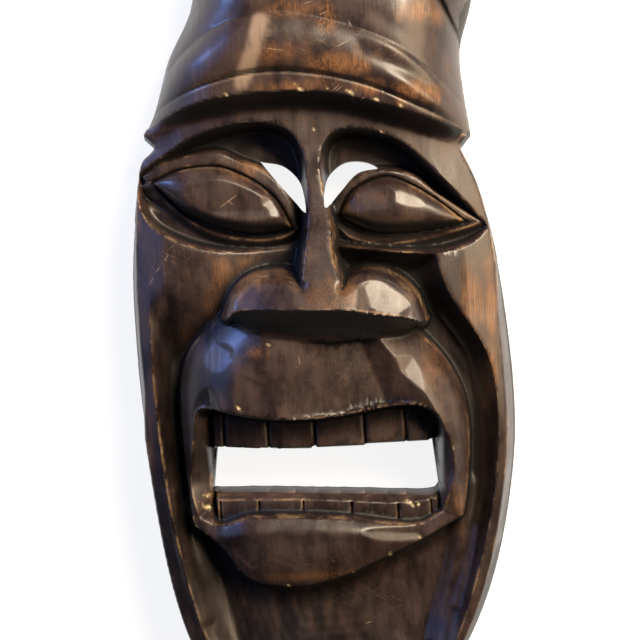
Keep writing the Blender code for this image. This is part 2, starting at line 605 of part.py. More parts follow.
def clear_scene():
    for thing in list(bpy.data.objects):
        bpy.data.objects.remove(thing)


def make_mask():
    mesh = carved_mesh()
    mesh.materials.append(dark_hardwood())
    mask = bpy.data.objects.new("mask", mesh)
    bpy.context.scene.collection.objects.link(mask)
    thin = mask.modifiers.new("flat facets", "DECIMATE")
    thin.ratio = FACETS / len(mesh.polygons)
    thin.use_collapse_triangulate = True
    return mask


clear_scene()
make_mask()
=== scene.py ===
"""A carved hardwood mask with a wrapped headdress, lying on its back rim and seen from above.

+Z points out of the face, +Y up to the headdress. Units are metres.
"""

import math

import bpy
import numpy as np
from mathutils import Matrix, Quaternion, Vector


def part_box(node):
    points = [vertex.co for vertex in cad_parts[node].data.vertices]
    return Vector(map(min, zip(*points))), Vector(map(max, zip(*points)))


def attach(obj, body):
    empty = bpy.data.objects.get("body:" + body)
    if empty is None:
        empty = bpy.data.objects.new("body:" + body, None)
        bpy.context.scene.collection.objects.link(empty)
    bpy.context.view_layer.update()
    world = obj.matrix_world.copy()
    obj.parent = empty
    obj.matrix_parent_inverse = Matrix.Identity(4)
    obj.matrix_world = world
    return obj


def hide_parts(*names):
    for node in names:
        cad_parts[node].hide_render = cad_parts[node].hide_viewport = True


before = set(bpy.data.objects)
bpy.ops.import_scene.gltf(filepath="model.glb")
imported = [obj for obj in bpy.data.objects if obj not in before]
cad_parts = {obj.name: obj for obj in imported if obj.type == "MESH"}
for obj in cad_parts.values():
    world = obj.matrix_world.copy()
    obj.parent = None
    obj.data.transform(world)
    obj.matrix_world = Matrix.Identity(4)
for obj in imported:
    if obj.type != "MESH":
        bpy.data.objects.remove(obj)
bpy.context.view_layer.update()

# The block that is carved, as the frame gives it
LOW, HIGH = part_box("mask")
WIDTH, LENGTH, DEPTH = HIGH - LOW
EDGE = 0.009  # upright edge all round the outline
RIM = 0.014  # flat rim that the mask lies on
HOLLOW = 0.016  # depth of the hollow behind the face
CROWN_HOLLOW = 0.030  # depth of the hollow behind the headdress
WALL = 0.006  # least wood left between the hollow and the carving
HOLLOW_SLOPE = 0.030  # how far the hollow's sides take to reach its floor
CROWN_BLEND = 0.060  # how far the face's hollow takes to deepen into the headdress's

# Levels of the carving over the back rim, as shares of the depth
SHOULDER_LEVEL = 0.45 * DEPTH
BROW_LEVEL = 0.60 * DEPTH
BAND_LEVEL = 0.79 * DEPTH
BAND_HEM = 0.02 * DEPTH
BAND_BULGE = 0.07 * DEPTH
BAND_LIFT = 0.03 * DEPTH
BAND_CREASE_DEPTH = 0.015 * DEPTH
BAND_VALLEY_DEPTH = 0.03 * DEPTH
FOLD_LEVEL = 0.83 * DEPTH
FOLD_BULGE = 0.04 * DEPTH
FOLD_DROPS = (0.045 * DEPTH, 0.05 * DEPTH, 0.16 * DEPTH)
BRIDGE_LEVEL = 0.66 * DEPTH
TIP_LEVEL = 0.90 * DEPTH
WING_DROP = 0.11 * DEPTH
WING_BEVEL_DROP = 0.07 * DEPTH
SOCKET_LEVEL = 0.33 * DEPTH
SOCKET_FOOT_LEVEL = 0.39 * DEPTH
LID_LEVEL = 0.45 * DEPTH
LID_GROOVE = 0.02 * DEPTH
LID_FALL = 0.008 * DEPTH
EYE_VALLEY_DEPTH = 0.055 * DEPTH
EYE_BULGE = 0.17 * DEPTH
EYE_PROUD = 0.035 * DEPTH
VALLEY_LEVEL = 0.30 * DEPTH
NOSE_SIDE_LEVEL = 0.41 * DEPTH
CHIN_LEVEL = 0.42 * DEPTH
MUZZLE_EDGE_LEVEL = 0.45 * DEPTH
MUZZLE_LEVEL = 0.74 * DEPTH
LIP_EDGE_LEVEL = 0.52 * DEPTH
LIP_LEVEL = 0.61 * DEPTH
LIP_ROLL_DROP = 0.07 * DEPTH
TEETH_LEVEL = 0.47 * DEPTH
TEETH_ARCH = 0.03 * DEPTH
MOUTH_LEVEL = 0.27 * DEPTH

# Widths of the carved slopes
SIDE_FACET = 0.008
FACET_TURN = 0.050
CHEEK_ROUNDING = 0.045
CHEEK_TURN = 0.016
WRAP_ROUNDING = 0.042
VALLEY_FADE = 0.030
COVE = 0.0085
FOLD_STEP = 0.0012
BROW_WALL = 0.004
SOCKET_BAND = 0.0045
LID_TURN = 0.004
CHANNEL_WALL = 0.011
LEFT_CHEEK_FALL = 0.080
RIGHT_CHEEK_FALL = 0.011
CHEEK_BLEND = 0.050
CHIN_BLEND = 0.070
TIP = 0.016
FLARE = 0.036
BRIDGE = 0.032
RIDGE = 0.010
WING = 0.045
WING_BEVEL = 0.004
MUZZLE_ROUNDING = 0.034
LIP_ROUNDING = 0.022
LIP_ROLL = 0.009
LIP_BLEND = 0.020
MOUTH_HALF = 0.059
MOUTH_CORNER = 0.004
TEETH_HALF = 0.063
JAW_FOLD = 0.009
JAW_FOLD_RISE = 0.005

# Steepness of the carved walls, as fall over run
UPPER_LID_STEEPNESS = 3.0
LOWER_LID_STEEPNESS = 1.1
NOSE_STEEPNESS = 7.0
MUZZLE_STEEPNESS = 5.0
MOUTH_STEEPNESS = 6.0
MOUTH_SIDE_STEEPNESS = 2.0
TEETH_TOP_STEEPNESS = 1.5

# Shares that shape the curves
CHEEK_TURN_RISE = 0.86
SOCKET_TURN = 0.25
SOCKET_TURN_RUN = 0.3
EYE_TAPER = 0.6
UNDERSIDE_BEND = 1.2

# What the knife, the saw and years of handling leave on the surface
KERF = 0.0013  # a fine saw's cut between two teeth
KERF_DEPTH = 0.0045
CREVICE = 0.0009  # half the width of the knife cut between an eye and its upper lid
CREVICE_DEPTH = 0.0022
UNEVENNESS = [(0.00035, (0.016, 0.030), 1), (0.00014, (0.006, 0.012), 2)]  # each layer's rise, size and seed
RAGGED = [(0.35, (0.005, 0.014), 21), (0.2, (0.002, 0.006), 22)]  # stain's borders: share, size and seed
GOUGE = 0.0052  # width of one run of the gouge
GOUGE_DEPTH = 0.00012
BACK_GOUGE = 0.013
BACK_GOUGE_DEPTH = 0.0011
FLAT_REACH = 0.008  # from a flat's middle to its straight sides, past which the knife turns out of the wood
FLAT_SIDES = 5
FLAT_SKEW = 0.3  # how far a flat's sides may turn from even, as a share of the turn from one to the next
FLAT_SPREAD = (0.6, 1.5)  # how near and how far its sides may lie, as shares of their usual reach
FLAT_TURN = 0.45
FLAT_DEPTH = 0.0005
FLAT_BLUR = 0.002  # how far round a flat's middle the form's own slope is averaged
SCRATCH_HALF = 0.00030
MILLIMETRE = 0.001

# What counts as a worn edge, and as a crease and a deep place that get painted shade: how far it stands from
# the level around it
EDGE_REACH, EDGE_STEP = 0.0010, 0.00055
CREASE_REACH, CREASE_STEP = 0.0025, 0.0011
DEEP_REACH, DEEP_STEP = 0.0100, 0.0075
OVERHANG = 0.5  # slope past which an underside is painted in shade
# share of painted shade and dulling given to the hollow back
BACK_SHADE_AND_DULLNESS = 0.8

# How finely the carving is worked
CELL = 0.00080
ON_LINE = 0.0001  # anything nearer to a line than this lies on it
CREASE_ANGLE = math.radians(50)  # faces that meet more sharply than this show an edge
BACK_TRIANGLES = 30000
TRIANGLES = 196000

# Colours of the finish
STAIN = "#2c2221"
STAIN_BROWN = "#4b3a32"
# deep stain, also laid as painted shade on the chin and lower left
DEEP_STAIN_AND_SHADE = "#100b0c"
# red-brown and orange wood where the stain rubbed thin, also laid as painted sheen
RED_WOOD_AND_SHEEN = "#67462f"
ORANGE_WOOD_AND_SHEEN = "#956b41"
# tan of scuffs and scratches, also the colour of the painted reflection
TAN_SCUFF_AND_REFLECTION = "#a58f7a"
GOLDEN_EDGE = "#a98a62"
# near-black painted shade for recesses and undersides, with some dirt in the creases
SHADE_AND_DIRT_BLACK = "#020101"
BARE_WOOD = "#e3cf9f"

# Patterns of the finish: size across the log and along it in metres, turn in degrees, detail and roughness.
# Fine wood's fibres and scuffs are thinner than this; they are drawn about twice as coarse, to show.
PATTERNS = {
    "fibres": (0.0007, 0.0150, 0, 4, 0.6),
    "figure": (0.0070, 0.0350, 4, 3, 0.5),
    "mottle": (0.0140, 0.0210, 0, 5, 0.6),
    "specks": (0.0011, 0.0013, 0, 2, 0.5),
    "left_scuffs": (0.0006, 0.0090, 62, 2, 0.5),
    "right_scuffs": (0.0006, 0.0080, -50, 2, 0.5),
}

# Coats of colour from the wood up, among them painted shade, painted sheen and a painted reflection: colour,
# mark that it keeps to, pattern, its range, and the most cover
COATS = [
    (STAIN_BROWN, None, "figure", 0.30, 0.72, 0.85),
    (DEEP_STAIN_AND_SHADE, None, "fibres", 0.48, 0.68, 0.5),
    (DEEP_STAIN_AND_SHADE, None, "mottle", 0.52, 0.34, 0.6),
    # thin stain, with painted sheen on the headdress
    (RED_WOOD_AND_SHEEN, "thin_stain_and_painted_sheen", "mottle", 0.36, 0.56, 1.0),
    (ORANGE_WOOD_AND_SHEEN, "thin_stain_and_painted_sheen", "fibres", 0.42, 0.62, 0.7),
    # thick stain, and painted shade on the chin and lower left
    (DEEP_STAIN_AND_SHADE, "thick_stain_and_painted_shade", "figure", 0.10, 0.40, 0.97),
    (TAN_SCUFF_AND_REFLECTION, "scuffed", "left_scuffs", 0.60, 0.74, 0.35),
    (TAN_SCUFF_AND_REFLECTION, "scuffed", "right_scuffs", 0.60, 0.74, 0.3),
    # painted reflection: a tan streak down the broad band
    (TAN_SCUFF_AND_REFLECTION, "painted_reflection", "figure", 0.30, 0.55, 0.6),
    (GOLDEN_EDGE, "edge_wear", "mottle", 0.47, 0.62, 0.55),
    # painted shade: near-black laid into creases, hollows and down-facing undersides, with some dirt
    (SHADE_AND_DIRT_BLACK, "painted_shade_and_dirt", "mottle", 0.0, 0.35, 0.97),
    (BARE_WOOD, "bare_wood", "specks", 0.30, 0.55, 1.0),
]
WAX_ROUGHNESS = 0.32
WORN_ROUGHNESS = 0.48
RECESS_ROUGHNESS = 0.60
WOOD_IOR = 1.47
WAX_IOR = 1.45
POLISH = 0.12
POLISH_ROUGHNESS = 0.18
RELIEF_STRENGTH = 0.35
GRAIN_DEPTH = 0.00010
HAND_DEPTH = 0.00060

# The camera, the floor and the room
CAMERA_PLACE = Vector((0.0111, 0.0449, 0.700))
CAMERA_AIM = Vector((-0.0009, -0.0001, 0.040))
CAMERA_ROLL = math.radians(2.9)
LENS = 70
SENSOR = 36
FLOOR_SIZE = 8
FLOOR_GAP = 0.0003
FLOOR_GLOW = 0.87
FLOOR_PAINT = "#84837f"
FLOOR_ROUGHNESS = 0.9
FLOOR_SHEEN = 0.1
ROOM_COLOUR = "#e9ecf2"
ROOM_LIGHT = 0.025

# A warm window high on the right, a small cool one low on the left, and dim walls to each side:
# size in metres, place, power in watts and colour
LAMPS = [
    ("warm_window", (0.38, 0.30), (0.42, 0.50, 0.72), 15.5, "#ffeacf"),
    ("cool_window", (0.12, 0.26), (-0.62, 0.48, 0.28), 3.0, "#86a8ff"),
    ("warm_wall", (0.50, 0.60), (0.72, 0.14, 0.52), 7.5, "#ffe0ba"),
    ("grey_wall", (0.5, 0.6), (-0.66, 0.16, 0.46), 2.5, "#7f97d4"),
]

# Places on the pattern, in its own millimetres, x to the right and y up the face
CROWN_HOLLOW_START = 60
VALLEY_START = 15
CHEEK_MIDDLE = 20
CHEEK_FOOT = -25
CHANNEL_TOP = -10
GOUGE_TOP = 10
CHIN_START = -150
LIP_START = -85
ROLL_START = -92
NOSE_MIDDLE = 2
NOSE_ENDS = (-48, 53)
MOUTH_MIDDLE = -1

# How broad the side facet is up each side: y on the pattern, and the share of its broadest
LEFT_FACET = [(-230, 0.4), (-60, 0.4), (-35, 0.8), (30, 0.75), (60, 0.55), (90, 0.3)]
RIGHT_FACET = [(-230, 1), (-35, 1), (0, 0.9), (25, 0.5), (60, 0.3), (100, 0.3)]

# Lines drawn on the same pattern
FACE_OUTLINE = [(-86, 96), (-95, 84), (-102, 40), (-103.5, 0), (-101, -60), (-91, -142), (-74, -192),
                (-42, -229), (0, -238), (40, -230), (68, -198), (90, -150), (103, -90), (105, -40),
                (99, 25), (90, 66), (81, 88)]
CROWN_OUTLINE = [(87, 95), (84, 118), (83, 142), (91, 174), (85, 210), (57, 233), (12, 238),
                 (-33, 229), (-56, 199), (-63, 168), (-76, 143), (-84, 118), (-92, 102)]
BAND_EDGE = [(-100, 98), (-73, 111.5), (-34, 118), (8, 117), (47, 106.5), (95, 89)]
BAND_CREASE = [(-100, 106), (-64, 121), (-20, 129), (23, 122), (60, 106), (95, 92)]
BAND_VALLEY = [(10, 143), (43, 129), (62, 118), (95, 96)]
SECOND_FOLD = [(-100, 112), (-63, 142), (-43, 153), (-22, 157), (0, 155), (43, 139), (95, 98)]
THIRD_FOLD = [(-100, 150), (-60, 178), (-28, 193), (5, 196), (38, 188), (62, 172), (79, 147), (95, 125)]
FOURTH_FOLD = [(-100, 186), (-56, 207), (-20, 219), (15, 220), (50, 211), (95, 178)]
CROWN_TOP = [(-100, 246), (95, 246)]
LEFT_BROW = [(-94, 80), (-86, 86), (-59, 100), (-30, 105), (-12, 100), (-5, 88), (-3, 69), (-5, 45)]
LEFT_SOCKET = [(-5, 45), (-8, 39), (-40, 38), (-62, 41), (-80, 49), (-89, 57), (-93.5, 68), (-94, 80)]
RIGHT_BROW = [(7, 45), (6, 65), (5, 86), (11, 97), (25, 99), (47, 91), (67, 72), (92, 45)]
RIGHT_SOCKET = [(92, 45), (82, 37), (64, 33), (39, 35), (11, 39), (7, 45)]
LEFT_EYE_TOP = [(-86, 77.5), (-71, 83.2), (-57, 84.5), (-46, 83), (-31, 75.3), (-20, 65.2), (-12, 49.5)]
LEFT_EYE_FOOT = [(-86, 77.5), (-70.5, 62), (-61.8, 56.8), (-47.7, 50.8), (-31, 47.8), (-12, 49.5)]
LEFT_LID_TOP = [(-90, 81), (-80, 87), (-59, 91.5), (-48, 91), (-40, 87), (-24, 79), (-13, 65), (-9.5, 49)]
LEFT_LID_FOOT = [(-90, 81), (-77.3, 66.6), (-65, 54.8), (-50, 47.1), (-31.5, 43.8), (-18, 44.8), (-9.5, 49)]
RIGHT_EYE_TOP = [(13, 55), (18, 65), (26, 71), (39, 74.4), (52, 69.5), (65, 61), (80, 48.5)]
RIGHT_EYE_FOOT = [(13, 55), (20, 50.5), (30.5, 45.7), (45, 44.5), (64, 45.6), (80, 48.5)]
RIGHT_LID_TOP = [(8.5, 51), (9.5, 60), (16, 70), (26, 76), (39, 77.6), (53, 74), (65, 64), (88, 47.5)]
RIGHT_LID_FOOT = [(8.5, 51), (14, 47), (19.2, 42.6), (34, 38.6), (54, 39.7), (70, 43), (88, 47.5)]
LEFT_EYE_GAP = [(-28, 86), (-16, 83), (-8, 75), (-5, 65), (-5, 57), (-11, 64), (-20, 75), (-28, 86)]
RIGHT_EYE_GAP = [(5, 66), (8, 76), (17, 83), (28, 83), (35, 79), (24, 77), (14, 67), (6, 59), (5, 66)]
NOSE_LEFT = [(-4, 92), (-3, 66), (-4, 48), (-8, 20)]
NOSE_LEFT_WING = [(-8, 20), (-19, 25), (-34, 24), (-44, 16), (-48, 4)]
NOSE_FOOT = [(-48, 4), (-38, 9), (-10, 8), (12, 7), (35, 3.5), (53, -2)]
NOSE_RIGHT_WING = [(53, -2), (49, 12), (38, 22.5), (25, 24.5), (13, 18)]
NOSE_RIGHT = [(13, 18), (8, 35), (8, 52), (4.5, 74), (5, 92)]
NOSE_UNDERSIDE = [(-48, 3), (-34, -5), (-4, -10), (26, -10), (45, -10), (53, -3)]
MUZZLE_LEFT = [(-40, 18), (-62, -3), (-73, -18), (-77, -42), (-76, -80), (-73, -107)]
LIP_FOOT = [(-73, -107), (-58, -121), (-45, -138), (-24, -143.5), (0, -141), (40, -125), (71, -109)]
MUZZLE_RIGHT = [(71, -109), (76, -80), (75.5, -50), (66, -26), (46, 0), (44, 18)]
MOUTH_TOP = [(-71, -62), (-68, -46), (-61, -43), (-32, -49), (0, -50), (40, -45), (57, -50), (66, -65)]
MOUTH_RIGHT = [(66, -65), (67.5, -84), (61, -106)]
MOUTH_FOOT = [(61, -106), (44, -112), (4, -106), (-40, -104), (-58, -108), (-70, -104)]
MOUTH_LEFT = [(-70, -104), (-74, -84), (-71, -62)]
MOUTH_GAP_TOP = [(-60, -66), (-8, -69.5), (58, -69)]
MOUTH_GAP_RIGHT = [(58, -69), (60.5, -95)]
MOUTH_GAP_FOOT = [(60.5, -95), (54, -98), (20, -96), (-37, -92.5), (-64, -92)]
MOUTH_GAP_LEFT = [(-64, -92), (-62, -78), (-60, -66)]
UPPER_TEETH_FOOT = [(-75, -67), (-8, -69.5), (70, -68)]
LOWER_TEETH_TOP = [(-75, -95), (-10, -97), (38, -101), (70, -98)]
UPPER_KERFS = (-55, -31, -6, 21, 43)
LOWER_KERFS = (-59, -38, -14, 12, 37, 55)
CHEEK_HOLLOW_TOP = [(-90, 30), (-86, 58), (-50, 66), (-15, 60), (3, 43), (39, 34.5), (62, 33)]
RIGHT_CHANNEL = [(62, 33), (70, 9), (88, -22), (92.5, -55), (87, -108), (65, -178), (40, -211), (0, -221)]
LEFT_CHANNEL = [(0, -221), (-42, -212), (-66, -182), (-83, -115), (-90, -45), (-90.5, 0), (-90, 30)]
LEFT_JAW_FOLD = [(-74, -100), (-70, -140), (-60, -185)]
RIGHT_JAW_FOLD = [(74, -95), (70, -130), (56, -180)]

# Soft ridges that a line on the pattern carries, each with its width and rise in metres
SOFT_RIDGES = [
    ([(30, 148), (52, 133), (70, 118), (86, 103)], 0.009, 0.0011),
    ([(46, 186), (62, 166), (76, 143)], 0.010, 0.0016),
    ([(84, -20), (84, -60), (80, -110), (66, -160)], 0.004, 0.0009),
    ([(-84, -90), (-80, -120), (-70, -160)], 0.005, 0.0016),
]

# Flats that the knife left: x and y on the pattern, depth as a share of the usual, and the fall across and
# up where the flat has a slant of its own
MUZZLE_FLATS = [
    (-58, -18, 0.9), (-68, -44, 1.0), (-40, -34, 0.8), (64, -42, 1.2), (28, -36, 0.8),
    (49, -28, 1.9, 0.22, 0.34), (-10, -30, 0.6), (66, -62, 1.0), (-44, -122, 1.4), (-14, -130, 0.8),
    (36, -117, 1.6), (58, -111, 1.0),
]
EYE_FLATS = [
    (-70, 70, 0.5), (-20, 58, 1.8, 0.30, 0.27), (24, 60, 0.6), (50, 63, 0.7, 0.22, 0.28),
]
NOSE_FLATS = [(34, 13, 2.0, 0.26, 0.30)]

# Chips and nicks that show bare wood: x and y on the pattern, radius and depth in metres
NICKS = [
    (-3.5, 119.5, 0.0014, 0.0009), (10, 119, 0.0009, 0.0007), (22, 116.5, 0.0016, 0.0010),
    (35, 112, 0.0010, 0.0007), (-41, 118.5, 0.0010, 0.0006), (47, 108.5, 0.0009, 0.0007),
    (-27, -10, 0.0010, 0.0005), (-44, -42.5, 0.0009, 0.0006),
    (-52, -136, 0.0009, 0.0007), (-24, -141.5, 0.0010, 0.0008), (12, -137, 0.0010, 0.0006),
    (32, -128, 0.0011, 0.0007), (48, -119.5, 0.0010, 0.0006),
    (44, -101.5, 0.0014, 0.0010), (48, -102.5, 0.0011, 0.0009), (-66.5, -93, 0.0012, 0.0008),
    (-66, -99, 0.0014, 0.0009), (2, 100, 0.0009, 0.0006), (37, 97, 0.0009, 0.0006),
]

# Where the stain has rubbed thin, and where lighter patches paint the warm light's sheen: x and y on the
# pattern, radii across and up, and how much
THIN_STAIN_AND_SHEEN_PATCHES = [
    (15, 131, 24, 8, 1.0), (11, 152, 9, 10, 0.9), (-2, 158, 28, 7, 0.8), (-9, 121, 26, 5, 0.8),
    (-39, 27, 30, 14, 0.8), (4, 14, 18, 10, 1.0), (-96, -62, 5, 46, 0.6), (-76, -6, 10, 10, 0.6),
    (89, -36, 5, 28, 1.0), (82, 7, 9, 20, 0.8), (60, -30, 8, 15, 0.4), (-7, -137, 46, 5, 0.7),
    (-32, 82, 16, 6, 0.6), (37, 64, 10, 4, 0.3), (-55, 7, 14, 13, 0.5),
    # painted sheen of the warm light on the band, its hem, the third wrap and the band's middle
    (54, 115, 20, 8, 1.0), (35, 118, 16, 5, 1.0), (56, 155, 16, 9, 0.9), (-17, 137, 18, 8, 0.6),
    (91, 6, 6, 26, 0.8),
    (-35, -14, 9, 4, 0.7), (-96, 60, 4, 14, 0.8), (70, -105, 8, 20, 0.4), (30, 205, 30, 12, 0.5),
]

# Where the stain has gathered, and where it paints the shade on the chin and the lower left: the same values
# as for thin stain
THICK_STAIN_AND_SHADE_PATCHES = [
    # the first four patches paint the shade on the chin, the lower left cheek and its channel
    (-20, -195, 120, 90, 1.0), (-68, -145, 34, 70, 1.0), (-84, -90, 30, 120, 1.0), (-80, 0, 18, 40, 1.0),
    (-62, -34, 22, 30, 0.9),
    (2, 14, 15, 9, 0.8), (-66, -70, 12, 40, 0.8), (88, -120, 14, 60, 0.5), (0, -110, 75, 16, 0.4),
]

# A tan streak down the broad band: a painted reflection of something tall
REFLECTION_STREAK = [(-22, 154), (-26, 140), (-33, 124)]
REFLECTION_HALF = 0.0055

# Scratches one by one, from x and y to x and y on the pattern
SCRATCHES = [
    (-51, 61, -39, 69), (-46, 66, -42, 63), (-90, 23, -87, 27), (-86, 29, -83, 33), (-81, 35, -78, 39),
    (-22, 140, -9, 138), (12, 117, 17, 121), (14, 117, 18, 120), (26, 112, 29, 114), (15, 138, 23, 142),
    (0, 161, 5, 162), (7, 155, 13, 157), (22, 152, 24, 148), (-12, -17, -11, -22), (-60, -40, -58, -37),
    (16, -170, 20, -169), (-78, -92, -78, -98), (-77, -100, -76, -104),
]

# Areas with many fine scuffs: x and y on the pattern, radii across and up, and how dense
SCUFFED = [
    (8, 142, 26, 8, 1.0), (37, 134, 20, 9, 1.0), (13, 157, 22, 8, 0.8), (4, -22, 46, 16, 0.4),
    (-62, 72, 22, 10, 0.7),
    (-22, -127, 44, 12, 0.5), (-78, 35, 12, 13, 0.8), (-5, 106, 40, 5, 0.8), (25, -155, 40, 20, 0.4),
    (-30, -5, 24, 14, 0.6), (38, 14, 16, 10, 1.0), (40, 190, 40, 20, 0.7),
]


def ease(share):
    """Soft step from 0 to 1."""
    share = np.clip(share, 0, 1)
    return share * share * (3 - 2 * share)


def fall(share):
    """Quick start and slow end from 0 to 1, as a gouge leaves a wall."""
    return 1 - (1 - np.clip(share, 0, 1)) ** 2


def swell(share):
    """Quarter-round from 0 to 1."""
    return np.sqrt(1 - (1 - np.clip(share, 0, 1)) ** 2)


def mix(start, end, share):
    return start + (end - start) * share


def smooth(points, steps=6):
    """A smooth open line through the points."""
    points = np.array(points, float)
    ends = np.vstack([2 * points[0] - points[1], points, 2 * points[-1] - points[-2]])
    line = []
    for before, start, end, after in zip(ends, ends[1:], ends[2:], ends[3:]):
        for share in np.arange(steps) / steps:
            bend = (2 * before - 5 * start + 4 * end - after) * share**2
            swing = (3 * start - before - 3 * end + after) * share**3
            line.append(start + 0.5 * ((end - before) * share + bend + swing))
    return np.array([*line, points[-1]])


def joined(*strokes):
    """A closed line of smooth strokes, with a corner where two of them meet."""
    line = np.vstack([smooth(stroke) for stroke in strokes])
    return np.vstack([line, line[:1]])


class Pattern:
    """Brings lines from the pattern to the mask's real size, with its outline centred."""

    def __init__(self):
        drawn = joined(FACE_OUTLINE, CROWN_OUTLINE)
        low, high = drawn.min(axis=0), drawn.max(axis=0)
        self.middle = (low + high) / 2
        self.scale = np.array([WIDTH, LENGTH]) / (high - low)

    def at_size(self, line):
        return (line - self.middle) * self.scale

    def across(self, points):
        """A smooth line that crosses the face, as its height up the face at each x."""
        line = self.at_size(smooth(points))
        return lambda x: np.interp(x, line[:, 0], line[:, 1])

    def x_at(self, drawn):
        return (drawn - self.middle[0]) * self.scale[0]

    def y_at(self, drawn):
        return (drawn - self.middle[1]) * self.scale[1]


PATTERN = Pattern()


def region(*strokes):
    return PATTERN.at_size(joined(*strokes))


OUTLINE = region(FACE_OUTLINE, CROWN_OUTLINE)
SOCKETS = (region(LEFT_BROW, LEFT_SOCKET), region(RIGHT_BROW, RIGHT_SOCKET))
EYES = (region(LEFT_EYE_TOP, LEFT_EYE_FOOT[::-1]), region(RIGHT_EYE_TOP, RIGHT_EYE_FOOT[::-1]))
LIDS = (region(LEFT_LID_TOP, LEFT_LID_FOOT[::-1]), region(RIGHT_LID_TOP, RIGHT_LID_FOOT[::-1]))
EYE_GAPS = (region(LEFT_EYE_GAP), region(RIGHT_EYE_GAP))
NOSE = region(NOSE_LEFT, NOSE_LEFT_WING, NOSE_FOOT, NOSE_RIGHT_WING, NOSE_RIGHT)
MUZZLE = region(MUZZLE_LEFT, LIP_FOOT, MUZZLE_RIGHT)
MOUTH = region(MOUTH_TOP, MOUTH_RIGHT, MOUTH_FOOT, MOUTH_LEFT)
MOUTH_GAP = region(MOUTH_GAP_TOP, MOUTH_GAP_RIGHT, MOUTH_GAP_FOOT, MOUTH_GAP_LEFT)
CHEEK_HOLLOW = region(CHEEK_HOLLOW_TOP, RIGHT_CHANNEL, LEFT_CHANNEL)


def nearest(line, x, y):
    """Each place's distance from a line, and the place on the line that is nearest to it."""
    least = np.full(x.shape, np.inf)
    near_x, near_y = np.zeros(x.shape), np.zeros(x.shape)
    for (start_x, start_y), (end_x, end_y) in zip(line, line[1:]):
        run_x, run_y = end_x - start_x, end_y - start_y
        length = run_x * run_x + run_y * run_y
        if length == 0:
            continue
        share = np.clip(((x - start_x) * run_x + (y - start_y) * run_y) / length, 0, 1)
        on_x, on_y = start_x + share * run_x, start_y + share * run_y
        gap = np.hypot(x - on_x, y - on_y)
        closer = gap < least
        least = np.where(closer, gap, least)
        near_x = np.where(closer, on_x, near_x)
        near_y = np.where(closer, on_y, near_y)
    return least, near_x, near_y


def within(line, x, y):
    """Whether each place lies inside a closed line."""
    inside = np.zeros(x.shape, bool)
    for (start_x, start_y), (end_x, end_y) in zip(line, line[1:]):
        if start_y == end_y:
            continue
        crosses = (start_y > y) != (end_y > y)
        inside ^= crosses & (x < start_x + (y - start_y) * (end_x - start_x) / (end_y - start_y))
    return inside


def inset(line, x, y):
    """Distance inside a closed line, less than zero outside it."""
    gap = nearest(line, x, y)[0]
    return np.where(within(line, x, y), gap, -gap)


def patchy(x, y, size, seed):
    """Soft random patches from -1 to 1, each about as wide as size, or as a pair of sizes across and up."""
    across, up = np.broadcast_to(size, 2)
    column, row = (x - LOW.x) / across + 1, (y - LOW.y) / up + 1
    drawn = np.random.default_rng(seed).uniform(-1, 1, (int(LENGTH / up) + 4, int(WIDTH / across) + 4))
    left, low = np.floor(column).astype(int), np.floor(row).astype(int)
    left, low = np.clip(left, 0, drawn.shape[1] - 2), np.clip(low, 0, drawn.shape[0] - 2)
    side, rise = ease(column - left), ease(row - low)
    foot = mix(drawn[low, left], drawn[low, left + 1], side)
    head = mix(drawn[low + 1, left], drawn[low + 1, left + 1], side)
    return mix(foot, head, rise)


def facet_width(x, y):
    """How broad the side facet is: broad beside the cheeks and narrow beside the brow."""
    sides = []
    for drawn in (LEFT_FACET, RIGHT_FACET):
        heights, shares = np.transpose(drawn)
        sides.append(SIDE_FACET * np.interp(y, PATTERN.y_at(heights), shares))
    return mix(*sides, ease(x / FACET_TURN + 0.5))


def face_body(x, y, edge_gap):
    """The plain block of the face: an upright edge, a side facet and a gently rounded front."""
    facet = facet_width(x, y)
    share = np.interp(
        edge_gap + (SIDE_FACET - facet) * np.clip(edge_gap / facet, 0, 1),
        [0, SIDE_FACET, SIDE_FACET + CHEEK_TURN, SIDE_FACET + CHEEK_ROUNDING],
        [0, (SHOULDER_LEVEL - EDGE) / (BROW_LEVEL - EDGE), CHEEK_TURN_RISE, 1],
    )
    return mix(EDGE, BROW_LEVEL, share)


def wrap_band(x, y, foot, top, level, bulge, drop):
    """One wrap of the headdress between two fold lines: a raised lower edge, a swelling, and a fall."""
    share = np.clip((y - foot(x)) / (top(x) - foot(x)), 0, 1)
    return level + bulge * (1 - (2 * share - 1) ** 2) - drop * share


def headdress(x, y, edge_gap):
    """The wraps from the broad band over the brow up to the crown, each one over the next."""
    folds = [PATTERN.across(line) for line in (BAND_EDGE, SECOND_FOLD, THIRD_FOLD, FOURTH_FOLD, CROWN_TOP)]
    crease = PATTERN.across(BAND_CREASE)
    hem = BAND_HEM * np.clip((y - folds[0](x)) / (crease(x) - folds[0](x)), 0, 1)
    height = hem + wrap_band(x, y, crease, folds[1], BAND_LEVEL, BAND_BULGE - BAND_HEM, -BAND_LIFT)
    height -= BAND_CREASE_DEPTH * (1 - ease(np.abs(y - crease(x)) / FOLD_STEP))
    valley_gap = np.abs(y - PATTERN.across(BAND_VALLEY)(x))
    valley_share = ease((x - PATTERN.x_at(VALLEY_START)) / VALLEY_FADE)
    height -= BAND_VALLEY_DEPTH * (1 - ease(valley_gap / COVE)) * valley_share
    for foot, top, drop in zip(folds[1:], folds[2:], FOLD_DROPS):
        band = wrap_band(x, y, foot, top, FOLD_LEVEL, FOLD_BULGE, drop)
        height = mix(height, band, ease((y - foot(x)) / FOLD_STEP))
    return mix(EDGE, height, swell(edge_gap / WRAP_ROUNDING))


